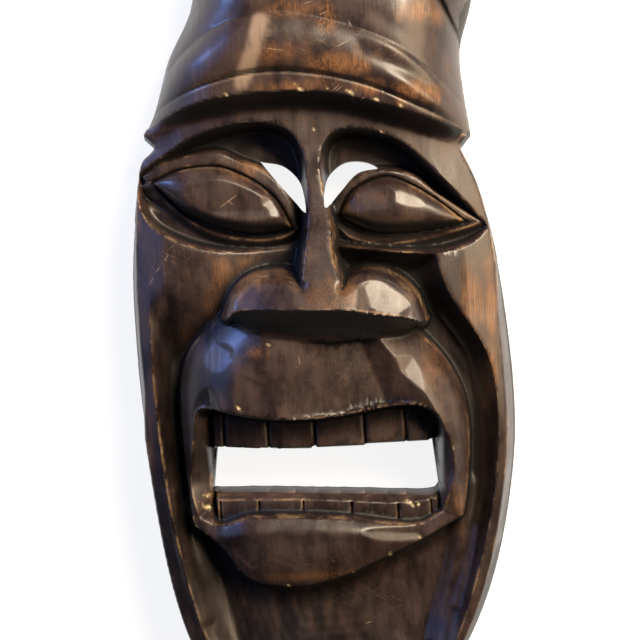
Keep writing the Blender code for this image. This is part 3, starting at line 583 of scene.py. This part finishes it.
def carve_sockets(height, x, y):
    """The sockets: undercut steeply below the brow and sloping in from the cheek."""
    brows = (LEFT_BROW[:6], RIGHT_BROW[3:])
    feet = (LEFT_SOCKET[1:][::-1], RIGHT_SOCKET[::-1])
    for socket, brow, foot in zip(SOCKETS, brows, feet):
        top, bottom = PATTERN.across(brow)(x), PATTERN.across(foot)(x)
        rise = (y - bottom) / np.maximum(top - bottom, COVE)
        under_brow = ease((rise - SOCKET_TURN) / SOCKET_TURN_RUN)
        band = mix(SOCKET_BAND, BROW_WALL, under_brow)
        floor = mix(SOCKET_FOOT_LEVEL, SOCKET_LEVEL, under_brow)
        height = np.minimum(height, mix(height, floor, fall(inset(socket, x, y) / band)))
    return height


def carve_cheeks(height, x, y):
    """The hollows beside the nose, which run down as channels past the mouth to the chin."""
    gap = inset(CHEEK_HOLLOW, x, y)
    left_cheek = ease((x - CHEEK_HOLLOW[:, 0].min()) / LEFT_CHEEK_FALL) * ease(gap / RIGHT_CHEEK_FALL)
    left = ease((PATTERN.x_at(CHEEK_MIDDLE) - x) / CHEEK_BLEND)
    upper = mix(fall(gap / RIGHT_CHEEK_FALL), left_cheek, left)
    depth = mix(fall(gap / CHANNEL_WALL), upper, ease((y - PATTERN.y_at(CHEEK_FOOT)) / CHEEK_BLEND))
    floor = mix(VALLEY_LEVEL, NOSE_SIDE_LEVEL, ease((y - PATTERN.y_at(CHANNEL_TOP)) / CHEEK_BLEND))
    floor = mix(floor, CHIN_LEVEL, ease((PATTERN.y_at(CHIN_START) - y) / CHIN_BLEND))
    height = np.where(gap > 0, np.minimum(height, mix(height, floor, depth)), height)
    for line in (LEFT_JAW_FOLD, RIGHT_JAW_FOLD):
        fold_gap = nearest(PATTERN.at_size(smooth(line)), x, y)[0]
        height = height + JAW_FOLD_RISE * (1 - ease(fold_gap / JAW_FOLD)) * (gap > 0)
    return height


def raise_eyes(height, x, y, body):
    """The shut eyes: a ball under a flat upper lid, with a valley between it and the thin lower lid."""
    lines = zip(EYES, LIDS, (LEFT_EYE_TOP, RIGHT_EYE_TOP), (LEFT_EYE_FOOT, RIGHT_EYE_FOOT))
    for eye, lids, top, foot in lines:
        gap, lid_gap = inset(eye, x, y), inset(lids, x, y)
        upper, lower = PATTERN.across(top)(x), PATTERN.across(foot)(x)
        tall = np.maximum(upper - lower, CELL)
        rise = np.clip((y - lower) / tall, 0, 1)
        roundness = np.sqrt(4 * rise * (1 - rise)) * (tall / tall.max()) ** EYE_TAPER
        ball = LID_LEVEL - LID_GROOVE + EYE_BULGE * roundness
        above_eye = ease((y - (upper + lower) / 2) / LID_TURN + 0.5)
        off_ball = np.clip(-gap / np.maximum(lid_gap - gap, CELL), 0, 1)
        lid = LID_LEVEL - mix(EYE_VALLEY_DEPTH * (1 - off_ball**2), LID_FALL * off_ball, above_eye)
        lid += np.minimum(lid_gap, 0) * mix(LOWER_LID_STEEPNESS, UPPER_LID_STEEPNESS, above_eye)
        height = np.where(gap > -ON_LINE, ball, np.maximum(height, lid))
        height = height - CREVICE_DEPTH * (1 - ease(np.abs(gap) / CREVICE)) * above_eye
    return np.minimum(height, body + EYE_PROUD)


def raise_muzzle(height, x, y):
    """The rounded mouth: the upper lip under the nose and the hanging lower lip."""
    gap = inset(MUZZLE, x, y)
    upper = mix(MUZZLE_EDGE_LEVEL, MUZZLE_LEVEL, fall(gap / MUZZLE_ROUNDING))
    lower = mix(LIP_EDGE_LEVEL, LIP_LEVEL, fall(gap / LIP_ROUNDING))
    share = ease((PATTERN.y_at(LIP_START) - y) / LIP_BLEND)
    form = mix(upper, lower, share)
    walls = mix(MUZZLE_EDGE_LEVEL, LIP_EDGE_LEVEL, share) + gap * MUZZLE_STEEPNESS
    return np.where(gap > 0, np.maximum(form, height), np.maximum(height, walls))


def nose_front(x, y):
    """The ridge runs forward down the bridge, then flares out to the tip; the wings fall back from it."""
    over_foot = y - PATTERN.across(NOSE_FOOT)(x)
    turns = np.cumsum([0, TIP, FLARE, BRIDGE])
    bridge = np.interp(over_foot, turns, [DEPTH, TIP_LEVEL, BRIDGE_LEVEL, BROW_LEVEL])
    off_ridge = np.abs(x - PATTERN.x_at(NOSE_MIDDLE)) - RIDGE
    return bridge - WING_DROP * ease(off_ridge / WING)


def wing_bevel(x, y):
    """How far the rounded tops of the nose's wings fall away."""
    wings = [PATTERN.at_size(smooth(points)) for points in (NOSE_LEFT_WING, NOSE_RIGHT_WING)]
    gap = np.minimum(*(nearest(wing, x, y)[0] for wing in wings))
    return WING_BEVEL_DROP * (1 - fall(gap / WING_BEVEL))


def raise_nose(height, x, y):
    """The nose, with steep walls beside it and a slope under its tip."""
    gap = inset(NOSE, x, y)
    top = nose_front(x, y) - wing_bevel(x, y)
    foot, under = PATTERN.across(NOSE_FOOT)(x), PATTERN.across(NOSE_UNDERSIDE)(x)
    edge = nose_front(x, foot) - wing_bevel(x, foot)
    share = np.clip((y - under) / np.maximum(foot - under, CELL / 10), 0, 1)
    left_end, right_end = (PATTERN.x_at(end) for end in NOSE_ENDS)
    below = (x > left_end) & (x < right_end) & (y < foot)
    underside = np.maximum(height, mix(height, edge, share**UNDERSIDE_BEND))
    walls = np.maximum(height, top + gap * NOSE_STEEPNESS)
    return np.where(gap > 0, top, np.where(below, np.maximum(underside, walls), walls))


def carve_mouth(height, x, y):
    """The open mouth: two rows of teeth parted by saw kerfs, a gap between them and rounded lips."""
    gap = inset(MOUTH, x, y)
    roll = LIP_ROLL_DROP * (1 - fall(-gap / LIP_ROLL)) * ease((PATTERN.y_at(ROLL_START) - y) / LIP_BLEND)
    height = height - np.where(inset(MUZZLE, x, y) > 0, roll, 0)
    beside = ease((np.abs(x - PATTERN.x_at(MOUTH_MIDDLE)) - MOUTH_HALF) / MOUTH_CORNER)
    walls = height - gap * mix(MOUTH_STEEPNESS, MOUTH_SIDE_STEEPNESS, beside)
    row = TEETH_LEVEL - TEETH_ARCH * (x / TEETH_HALF) ** 2
    upper = y > PATTERN.across(UPPER_TEETH_FOOT)(x)
    over = y - PATTERN.across(LOWER_TEETH_TOP)(x)
    for kerfs, teeth in ((UPPER_KERFS, upper), (LOWER_KERFS, over < 0)):
        for place in kerfs:
            notch = 1 - np.clip(np.abs(x - PATTERN.x_at(place)) / (KERF / 2), 0, 1)
            row = row - np.where(teeth, KERF_DEPTH * notch, 0)
    lower = row - np.maximum(over, 0) * TEETH_TOP_STEEPNESS
    floor = np.where(upper, row, np.maximum(lower, MOUTH_LEVEL))
    floor = mix(floor, MOUTH_LEVEL, beside)
    return np.where(gap > 0, np.minimum(height, np.maximum(walls, floor)), height)


def front(x, y):
    """Level of the carved front over the back rim, before the knife's finishing cuts."""
    edge_gap = np.maximum(inset(OUTLINE, x, y), 0)
    body = face_body(x, y, edge_gap)
    height = carve_cheeks(body, x, y)
    height = carve_sockets(height, x, y)
    height = raise_eyes(height, x, y, body)
    height = raise_muzzle(height, x, y)
    height = raise_nose(height, x, y)
    height = carve_mouth(height, x, y)
    band_edge = PATTERN.across(BAND_EDGE)(x)
    over_cove = (y - band_edge + COVE) / COVE
    wrap = headdress(x, y, edge_gap)
    edge = headdress(x, np.maximum(y, band_edge), edge_gap)
    cove = mix(height, edge, np.clip(over_cove, 0, 1) ** 2)
    return np.where(over_cove > 1, wrap, np.where(over_cove > 0, np.maximum(height, cove), height))


def back(x, y, face):
    """Level of the hollowed back, flat on the rim, with the marks of a broad gouge."""
    edge_gap = inset(OUTLINE, x, y)
    depth = mix(HOLLOW, CROWN_HOLLOW, ease((y - PATTERN.y_at(CROWN_HOLLOW_START)) / CROWN_BLEND))
    share = ease((edge_gap - RIM) / HOLLOW_SLOPE)
    wander = BACK_GOUGE * patchy(x, y, 3 * BACK_GOUGE, 11)
    across = np.abs((x + wander) / BACK_GOUGE % 1 - 0.5)
    along = np.abs((y + 2 * wander) / (3 * BACK_GOUGE) % 1 - 0.5)
    marks = BACK_GOUGE_DEPTH * (across**2 + along**2)
    return np.clip(depth * share - 4 * marks * share, 0, np.maximum(face - WALL, 0))


def blurred(height, reach):
    """The grid of levels, averaged over a square that reaches that far to each side."""
    cells = max(round(reach / CELL), 1)
    side = 2 * cells + 1
    for axis in (0, 1):
        padding = [(cells + 1, cells) if axis == along else (0, 0) for along in (0, 1)]
        sums = np.cumsum(np.pad(height, padding, "edge"), axis=axis)
        height = (np.roll(sums, -side, axis=axis) - sums) / side
        height = height[: sums.shape[0] - side] if axis == 0 else height[:, : sums.shape[1] - side]
    return height


def soft_ridges(height, x, y):
    for points, width, rise in SOFT_RIDGES:
        gap = nearest(PATTERN.at_size(smooth(points)), x, y)[0]
        height = height + rise * (1 - ease(gap / width))
    return height


def past_sides(off_x, off_y, seed):
    """How far past the nearest side of a flat each place lies; its sides are straight and uneven."""
    drawn = np.random.default_rng(seed)
    skew = drawn.uniform(-FLAT_SKEW, FLAT_SKEW, FLAT_SIDES)
    turns = (np.arange(FLAT_SIDES) + skew) * math.tau / FLAT_SIDES
    reaches = FLAT_REACH * drawn.uniform(*FLAT_SPREAD, FLAT_SIDES)
    past = [off_x * math.cos(turn) + off_y * math.sin(turn) - reach for turn, reach in zip(turns, reaches)]
    return np.maximum(np.max(past, axis=0), 0)


def knife_flats(height, x, y):
    """Planes each rounded form where the knife left a flat, level with the form or at a slant of its own."""
    slope_up, slope_across = np.gradient(blurred(height, FLAT_BLUR))
    step_across, step_up = np.gradient(x, axis=1), np.gradient(y, axis=0)
    muzzle = within(MUZZLE, x, y) & ~within(MOUTH, x, y) & (y < PATTERN.across(NOSE_UNDERSIDE)(x))
    eyes = within(EYES[0], x, y) | within(EYES[1], x, y)
    forms = (muzzle, MUZZLE_FLATS), (eyes, EYE_FLATS), (within(NOSE, x, y), NOSE_FLATS)
    for form, flats in forms:
        for number, (drawn_x, drawn_y, depth, *slant) in enumerate(flats):
            off_x, off_y = x - PATTERN.x_at(drawn_x), y - PATTERN.y_at(drawn_y)
            at = np.unravel_index(np.hypot(off_x, off_y).argmin(), x.shape)
            level_with_form = -slope_across[at] / step_across[at], -slope_up[at] / step_up[at]
            fall_x, fall_y = slant or level_with_form
            flat = height[at] - FLAT_DEPTH * depth - fall_x * off_x - fall_y * off_y
            flat += FLAT_TURN * past_sides(off_x, off_y, number)
            height = np.where(form, np.minimum(height, flat), height)
    return height


def gouge_runs(height, x, y):
    """Long narrow scoops that run down the channels and the chin."""
    gap = inset(CHEEK_HOLLOW, x, y)
    outside = np.minimum(-inset(MUZZLE, x, y), -inset(NOSE, x, y))
    below_nose = ease((PATTERN.y_at(GOUGE_TOP) - y) / CHEEK_BLEND)
    share = ease(gap / GOUGE) * ease(outside / GOUGE) * below_nose
    wander = GOUGE * patchy(x, y, (4 * GOUGE, 12 * GOUGE), 5)
    scoop = np.abs((gap + wander) / GOUGE % 1 - 0.5)
    return height + GOUGE_DEPTH * (4 * scoop**2 - 0.5) * share


def nicked(height, x, y):
    """The chips, and how bare the wood is in each."""
    bare = np.zeros(x.shape)
    ragged = 1 + 0.6 * patchy(x, y, 2 * CELL, 3)
    for drawn_x, drawn_y, radius, depth in NICKS:
        off_x, off_y = x - PATTERN.x_at(drawn_x), y - PATTERN.y_at(drawn_y)
        gap = np.hypot(0.8 * off_x + 0.5 * off_y, 0.7 * off_y) * ragged
        chip = 1 - ease(gap / radius)
        height = height - depth * chip
        bare = np.maximum(bare, chip)
    return height, bare


def patches(x, y, drawn, ragged):
    """How strongly each place is covered by soft-edged patches, whose borders are as ragged as told."""
    covered = np.zeros(x.shape)
    for drawn_x, drawn_y, across, up, share in drawn:
        off_x = (x - PATTERN.x_at(drawn_x)) / (across * MILLIMETRE)
        off_y = (y - PATTERN.y_at(drawn_y)) / (up * MILLIMETRE)
        covered = np.maximum(covered, share * (1 - ease(np.hypot(off_x, off_y) + ragged)))
    return covered


def painted_reflection(x, y):
    """The painted reflection: a tan streak down the broad band."""
    gap = nearest(PATTERN.at_size(smooth(REFLECTION_STREAK)), x, y)[0]
    return 1 - ease((gap / REFLECTION_HALF - 0.4) / 0.6)


def painted_shade_and_dirt_share(height):
    """How deep each place lies in a crease or a hollow, and how steeply it faces down: there shade is
    painted, with some dirt and old wax in the creases.
    """
    crease = np.clip((blurred(height, CREASE_REACH) - height) / CREASE_STEP, 0, 1)
    deep = np.clip((blurred(height, DEEP_REACH) - height) / DEEP_STEP, 0, 1)
    overhang = ease((np.gradient(blurred(height, CELL), axis=0) / CELL - OVERHANG) / OVERHANG)
    return np.maximum(np.maximum(crease, deep), overhang)


def finished_front(x, y):
    """The front with its finishing cuts, unevenness and chips, and the marks that its finish needs."""
    height = np.maximum(front(x, y), EDGE)
    height = soft_ridges(height, x, y)
    worn = np.clip((height - blurred(height, EDGE_REACH)) / EDGE_STEP, 0, 1)
    height = knife_flats(height, x, y)
    height = gouge_runs(height, x, y)
    for rise, size, seed in UNEVENNESS:
        height += rise * patchy(x, y, size, seed)
    height = mix(height, blurred(height, CELL), 0.5)
    height, bare = nicked(height, x, y)
    ragged = sum(share * patchy(x, y, size, seed) for share, size, seed in RAGGED)
    marks = {
        "edge_wear": worn,
        # painted shade in creases, hollows and undersides, with some dirt
        "painted_shade_and_dirt": painted_shade_and_dirt_share(height),
        "bare_wood": bare,
        # thin stain, and painted sheen on the headdress
        "thin_stain_and_painted_sheen": patches(x, y, THIN_STAIN_AND_SHEEN_PATCHES, ragged),
        # thick stain, and painted shade on the chin and lower left
        "thick_stain_and_painted_shade": patches(x, y, THICK_STAIN_AND_SHADE_PATCHES, ragged),
        "scuffed": patches(x, y, SCUFFED, ragged),
        # painted reflection streak down the broad band
        "painted_reflection": painted_reflection(x, y),
    }
    return np.minimum(np.maximum(height, EDGE), HIGH.z), marks


def above(line, x, y):
    return y > np.interp(x, line[:, 0], line[:, 1])


def drawn_lines():
    """Every line that an edge of the carving follows, with the test for its sides."""
    for line in (OUTLINE, *EYE_GAPS, MOUTH_GAP, NOSE, MOUTH, MUZZLE, *EYES, *LIDS, *SOCKETS, CHEEK_HOLLOW):
        yield line, within
    for points in (BAND_EDGE, SECOND_FOLD, THIRD_FOLD, FOURTH_FOLD, NOSE_UNDERSIDE, LOWER_TEETH_TOP):
        yield PATTERN.at_size(smooth(points)), above


def pull_onto_lines(x, y):
    """Moves the grid's crossings with each drawn line onto it, so that edges run true and not in steps."""
    moved = np.zeros(x.shape, bool)
    true_x, true_y = x.copy(), y.copy()
    for line, side_of in drawn_lines():
        gap, near_x, near_y = nearest(line, x, y)
        inside = side_of(line, x, y)
        crossed = np.zeros(x.shape, bool)
        for before, after in ((np.s_[:, :-1], np.s_[:, 1:]), (np.s_[:-1, :], np.s_[1:, :])):
            crossing = inside[before] != inside[after]
            closer = gap[before] <= gap[after]
            crossed[before] |= crossing & closer
            crossed[after] |= crossing & ~closer
        crossed &= ~moved & (gap < CELL)
        true_x = np.where(crossed, near_x, true_x)
        true_y = np.where(crossed, near_y, true_y)
        moved |= crossed
    return true_x, true_y, moved


def at_kerfs(columns):
    """Moves the grid's columns so that three of them run down each saw kerf."""
    for drawn in sorted(UPPER_KERFS + LOWER_KERFS):
        place = PATTERN.x_at(drawn)
        near = np.abs(columns - place).argmin()
        columns[near - 1 : near + 2] = place + np.array([-KERF, 0, KERF]) / 2
    return columns


def deselect_all():
    bpy.ops.object.select_all(action="DESELECT")


def select_faces(piece, chosen):
    """Goes into edit mode with just those faces selected."""
    bpy.ops.object.mode_set(mode="EDIT")
    bpy.ops.mesh.select_mode(type="FACE")
    bpy.ops.mesh.select_all(action="DESELECT")
    bpy.ops.object.mode_set(mode="OBJECT")
    piece.data.polygons.foreach_set("select", chosen)
    bpy.ops.object.mode_set(mode="EDIT")


def corners_of(mesh):
    """The mesh's faces as rows of corner numbers."""
    corners = np.empty(len(mesh.loops), np.int32)
    mesh.loops.foreach_get("vertex_index", corners)
    return corners.reshape(len(mesh.polygons), -1)


def places_of(mesh):
    places = np.empty(3 * len(mesh.vertices), np.float32)
    mesh.vertices.foreach_get("co", places)
    return places.reshape(-1, 3).astype(float)


def put_places(mesh, places):
    mesh.vertices.foreach_set("co", places.astype(np.float32).ravel())
    mesh.update()


def lay_blank():
    """A flat board of fine cells, as wide and as long as the block."""
    columns, rows = round(WIDTH / CELL), round(LENGTH / CELL)
    deselect_all()
    bpy.ops.mesh.primitive_grid_add(x_subdivisions=columns, y_subdivisions=rows, size=1)
    piece = bpy.context.object
    piece.name = "carved_mask"
    piece.data.name = "carved_mask"
    bpy.ops.transform.resize(value=(WIDTH, LENGTH, 1))
    bpy.ops.object.transform_apply(location=True, rotation=True, scale=True)
    return piece, (rows + 1, columns + 1)


def split_quads(piece, places, moved):
    """Parts each cell in two between corners that lie on a line, or else the shorter way."""
    first, second, third, fourth = corners_of(piece.data).T
    one_way, other_way = (
        np.linalg.norm(places[start] - places[end], axis=1) - CELL * (moved[start] & moved[end])
        for start, end in ((first, third), (second, fourth))
    )
    select_faces(piece, one_way < other_way)
    bpy.ops.mesh.quads_convert_to_tris(quad_method="FIXED", ngon_method="BEAUTY")
    bpy.ops.mesh.select_all(action="SELECT")
    bpy.ops.mesh.quads_convert_to_tris(quad_method="FIXED_ALTERNATE", ngon_method="BEAUTY")
    bpy.ops.object.mode_set(mode="OBJECT")


def border_edges(triangles, count):
    """The edges that only one triangle has, each as it runs round that triangle."""
    starts, ends = triangles.ravel(), np.roll(triangles, -1, axis=1).ravel()
    shared = np.isin(starts * count + ends, ends * count + starts)
    return starts[~shared], ends[~shared]


def saw_out(piece):
    """Cuts away what lies outside the outline and in the gaps, closing any gap's end that has no width."""
    mesh = piece.data
    places, triangles = places_of(mesh), corners_of(mesh).astype(np.int64)
    middle_x, middle_y = (places[triangles, axis].mean(axis=1) for axis in (0, 1))
    kept = within(OUTLINE, middle_x, middle_y)
    for gap in (*EYE_GAPS, MOUTH_GAP):
        kept &= ~within(gap, middle_x, middle_y)
    while True:
        starts, _ = border_edges(triangles[kept], len(places))
        touching = np.flatnonzero(np.bincount(starts, minlength=len(places)) > 1)
        if not len(touching):
            break
        kept |= np.isin(triangles, touching).any(axis=1)
    select_faces(piece, ~kept)
    bpy.ops.mesh.delete(type="FACE")
    bpy.ops.object.mode_set(mode="OBJECT")


def raise_block(piece):
    """Extrudes the sawn board up to a block, and tells which of its corners are on the front."""
    bpy.ops.object.mode_set(mode="EDIT")
    bpy.ops.mesh.select_all(action="SELECT")
    bpy.ops.mesh.extrude_region_move(TRANSFORM_OT_translate={"value": (0, 0, DEPTH)})
    bpy.ops.object.mode_set(mode="OBJECT")
    return places_of(piece.data)[:, 2] > DEPTH / 2


def add_mark(mesh, name, values):
    mark = mesh.attributes.new(name, "FLOAT", "POINT")
    mark.data.foreach_set("value", values.astype(np.float32))


def carve_mask():
    """Saws the outline out of a board, raises it to a block, carves its front and hollows its back."""
    piece, shape = lay_blank()
    mesh = piece.data
    flat = places_of(mesh)
    columns = at_kerfs(flat[: shape[1], 0].copy())
    rows = flat[:: shape[1], 1]
    x, y = np.meshgrid(columns, rows)
    x, y, moved = pull_onto_lines(x, y)
    level, marks = finished_front(x, y)
    put_places(mesh, np.column_stack([x.ravel(), y.ravel(), np.zeros(x.size)]))
    split_quads(piece, np.column_stack([x.ravel(), y.ravel(), level.ravel()]), moved.ravel())
    add_mark(mesh, "grid_corner", np.arange(x.size))
    saw_out(piece)
    on_front = raise_block(piece)

    places = places_of(mesh)
    corner = np.empty(len(places), np.float32)
    mesh.attributes["grid_corner"].data.foreach_get("value", corner)
    corner = corner.astype(int)
    face = level.ravel()[corner]
    places[:, 2] = np.where(on_front, face, back(places[:, 0], places[:, 1], face))
    put_places(mesh, places)
    mesh.attributes.remove(mesh.attributes["grid_corner"])
    for name, values in marks.items():
        # the hollow back gets the painted shade and dulling at this share
        on_back = BACK_SHADE_AND_DULLNESS if name == "painted_shade_and_dirt" else 0
        add_mark(mesh, name, np.where(on_front, values.ravel()[corner], on_back))
    thin_out(piece, "plain_back", ~on_front, on_front.sum() * 2 + BACK_TRIANGLES)
    thin_out(piece, "all_over", np.ones(len(mesh.vertices), bool), TRIANGLES)
    bpy.ops.object.shade_smooth_by_angle(angle=CREASE_ANGLE)
    return piece


def thin_out(piece, name, chosen, triangles):
    """Thins out the chosen corners' faces until the piece has that many triangles."""
    group = piece.vertex_groups.new(name=name)
    group.add(np.flatnonzero(chosen).tolist(), 1, "REPLACE")
    thin = piece.modifiers.new(name, "DECIMATE")
    thin.ratio = triangles / len(piece.data.polygons)
    thin.vertex_group = group.name
    thin.use_collapse_triangulate = True
    bpy.ops.object.modifier_apply(modifier=thin.name)


def linear(colour):
    """The linear colour, with alpha, of an sRGB hex value."""
    parts = [int(colour[place : place + 2], 16) / 255 for place in (1, 3, 5)]
    return (*[part / 12.92 if part <= 0.04045 else ((part + 0.055) / 1.055) ** 2.4 for part in parts], 1)


def add_node(nodes, kind, inputs, output=0, **settings):
    """Adds a node with its settings and inputs, each a value or another node's output; gives its output."""
    node = nodes.new(kind)
    for name, setting in settings.items():
        setattr(node, name, setting)
    for socket, source in inputs.items():
        if isinstance(source, bpy.types.NodeSocket):
            nodes.id_data.links.new(source, node.inputs[socket])
        else:
            node.inputs[socket].default_value = source
    return node.outputs[output]


def wood_patterns(nodes, place):
    """The finish's random patterns, each drawn out along the log, which runs up the face."""
    patterns = {}
    for name, (across, along, turn, detail, roughness) in PATTERNS.items():
        grain = add_node(nodes, "ShaderNodeMapping", {
            "Vector": place, "Rotation": (0, 0, math.radians(turn)), "Scale": (across, along, across),
        }, vector_type="TEXTURE")
        patterns[name] = add_node(nodes, "ShaderNodeTexNoise", {
            "Vector": grain, "Scale": 1, "Detail": detail, "Roughness": roughness,
        })
    return patterns


def scratches(nodes, place):
    """The single scratches, each a needle-thin ellipse from its start to its end."""
    covered = 0
    for start_x, start_y, end_x, end_y in SCRATCHES:
        start, end = PATTERN.at_size(np.array([(start_x, start_y), (end_x, end_y)]))
        run_x, run_y = end - start
        needle = add_node(nodes, "ShaderNodeMapping", {
            "Vector": place,
            "Location": (*(start + end) / 2, 0),
            "Rotation": (0, 0, math.atan2(run_y, run_x)),
            "Scale": (math.hypot(run_x, run_y) / 2, SCRATCH_HALF, 1),
        }, vector_type="TEXTURE")
        off_middle = add_node(nodes, "ShaderNodeVectorMath", {0: needle}, output="Value", operation="LENGTH")
        line = add_node(nodes, "ShaderNodeMapRange", {"Value": off_middle, "From Min": 1, "From Max": 0.5})
        covered = add_node(nodes, "ShaderNodeMath", {0: covered, 1: line}, operation="MAXIMUM")
    return covered


def laid_over(nodes, under, coat, cover):
    """The colour under a coat, covered by the coat as much as told."""
    inputs = {0: cover, 6: under, 7: linear(coat)}
    return add_node(nodes, "ShaderNodeMix", inputs, output=2, data_type="RGBA")


def stained_waxed_hardwood():
    """Tropical hardwood, stained nearly black, waxed and handled.

    The eye gets fine fibres up the face, a soft wax gloss, red-brown wood where the stain has rubbed
    thin and as painted sheen on the headdress, golden edges where hands have worn it through, dull
    near-black painted shade with some dirt in the recesses and under overhangs, painted shade on the
    chin and lower left, and a painted tan reflection down the broad band.
    """
    wood = bpy.data.materials.new("stained_waxed_hardwood")
    wood.use_nodes = True
    nodes = wood.node_tree.nodes
    shader = nodes["Principled BSDF"]
    place = add_node(nodes, "ShaderNodeTexCoord", {}, output="Object")
    patterns = wood_patterns(nodes, place)

    colour = linear(STAIN)
    for coat, mark, pattern, low, high, most in COATS:
        cover = add_node(nodes, "ShaderNodeMapRange", {
            "Value": patterns[pattern], "From Min": low, "From Max": high, "To Max": most,
        })
        if mark:
            kept_to = add_node(nodes, "ShaderNodeAttribute", {}, output="Fac", attribute_name=mark)
            cover = add_node(nodes, "ShaderNodeMath", {0: cover, 1: kept_to}, operation="MULTIPLY")
        colour = laid_over(nodes, colour, coat, cover)
    lines = {0: scratches(nodes, place), 1: patterns["specks"]}
    scratched = add_node(nodes, "ShaderNodeMath", lines, operation="MULTIPLY")
    colour = laid_over(nodes, colour, TAN_SCUFF_AND_REFLECTION, scratched)
    nodes.id_data.links.new(colour, shader.inputs["Base Color"])

    # the painted shade's mark also roughens the wax
    painted_shade_and_dirt = add_node(nodes, "ShaderNodeAttribute", {}, output="Fac", attribute_name="painted_shade_and_dirt")
    gloss = add_node(nodes, "ShaderNodeMapRange", {
        "Value": patterns["mottle"],
        "From Min": 0.35,
        "From Max": 0.65,
        "To Min": WAX_ROUGHNESS,
        "To Max": WORN_ROUGHNESS,
    })
    dull = add_node(nodes, "ShaderNodeMapRange", {
        "Value": painted_shade_and_dirt, "From Min": 0.2, "From Max": 0.8, "To Max": RECESS_ROUGHNESS,
    })
    roughness = add_node(nodes, "ShaderNodeMath", {0: gloss, 1: dull}, operation="MAXIMUM")
    nodes.id_data.links.new(roughness, shader.inputs["Roughness"])
    shader.inputs["IOR"].default_value = WOOD_IOR
    shader.inputs["Coat Weight"].default_value = POLISH
    shader.inputs["Coat Roughness"].default_value = POLISH_ROUGHNESS
    shader.inputs["Coat IOR"].default_value = WAX_IOR

    pores = {0: patterns["fibres"], 1: patterns["specks"]}
    relief = add_node(nodes, "ShaderNodeMath", pores, operation="ADD")
    grain = add_node(nodes, "ShaderNodeBump", {
        "Strength": RELIEF_STRENGTH, "Distance": GRAIN_DEPTH, "Height": relief,
    }, output="Normal")
    hand = add_node(nodes, "ShaderNodeBump", {
        "Strength": RELIEF_STRENGTH, "Distance": HAND_DEPTH, "Height": patterns["mottle"], "Normal": grain,
    }, output="Normal")
    nodes.id_data.links.new(hand, shader.inputs["Normal"])
    return wood


def painted_board():
    """Matt board that glows evenly: it shows as plain white, and throws little of the lamps' light back."""
    board = bpy.data.materials.new("painted_board")
    board.use_nodes = True
    shader = board.node_tree.nodes["Principled BSDF"]
    shader.inputs["Base Color"].default_value = linear(FLOOR_PAINT)
    shader.inputs["Roughness"].default_value = FLOOR_ROUGHNESS
    shader.inputs["Specular IOR Level"].default_value = FLOOR_SHEEN
    shader.inputs["Emission Color"].default_value = (1, 1, 1, 1)
    shader.inputs["Emission Strength"].default_value = FLOOR_GLOW
    return board


def lay_floor():
    deselect_all()
    bpy.ops.mesh.primitive_plane_add(size=FLOOR_SIZE, location=(0, 0, LOW.z - FLOOR_GAP))
    floor = bpy.context.object
    floor.name = "floor"
    floor.data.materials.append(painted_board())


def softbox(name, size, place, power, colour):
    """A soft rectangular light that faces the mask."""
    lamp = bpy.data.lights.new(name, "AREA")
    lamp.shape = "RECTANGLE"
    lamp.size, lamp.size_y = size
    lamp.energy = power
    lamp.color = linear(colour)[:3]
    holder = bpy.data.objects.new(name, lamp)
    bpy.context.scene.collection.objects.link(holder)
    holder.location = place
    holder.rotation_euler = (CAMERA_AIM - Vector(place)).to_track_quat("-Z", "Y").to_euler()


def light_studio():
    """Sets up the lamps and the dim room."""
    for lamp in LAMPS:
        softbox(*lamp)
    room = bpy.data.worlds.new("room")
    room.use_nodes = True
    sky = room.node_tree.nodes["Background"]
    sky.inputs["Color"].default_value = linear(ROOM_COLOUR)
    sky.inputs["Strength"].default_value = ROOM_LIGHT
    bpy.context.scene.world = room
    bpy.context.scene.view_settings.view_transform = "Standard"


def place_camera():
    """Looks straight down on the lying mask, a little rolled, as the photo looks straight at it."""
    lens = bpy.data.cameras.new("camera")
    lens.lens = LENS
    lens.sensor_width = SENSOR
    camera = bpy.data.objects.new("camera", lens)
    bpy.context.scene.collection.objects.link(camera)
    forward = (CAMERA_AIM - CAMERA_PLACE).normalized()
    right = forward.cross(Vector((0, 1, 0))).normalized()
    turned = Quaternion(forward, CAMERA_ROLL) @ right
    up = turned.cross(forward)
    facing = Matrix((turned, up, -forward)).transposed().to_4x4()
    camera.matrix_world = Matrix.Translation(CAMERA_PLACE) @ facing
    bpy.context.scene.camera = camera


place_camera()
light_studio()
lay_floor()
mask = carve_mask()
mask.data.materials.append(stained_waxed_hardwood())
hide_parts("mask")
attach(mask, "root")
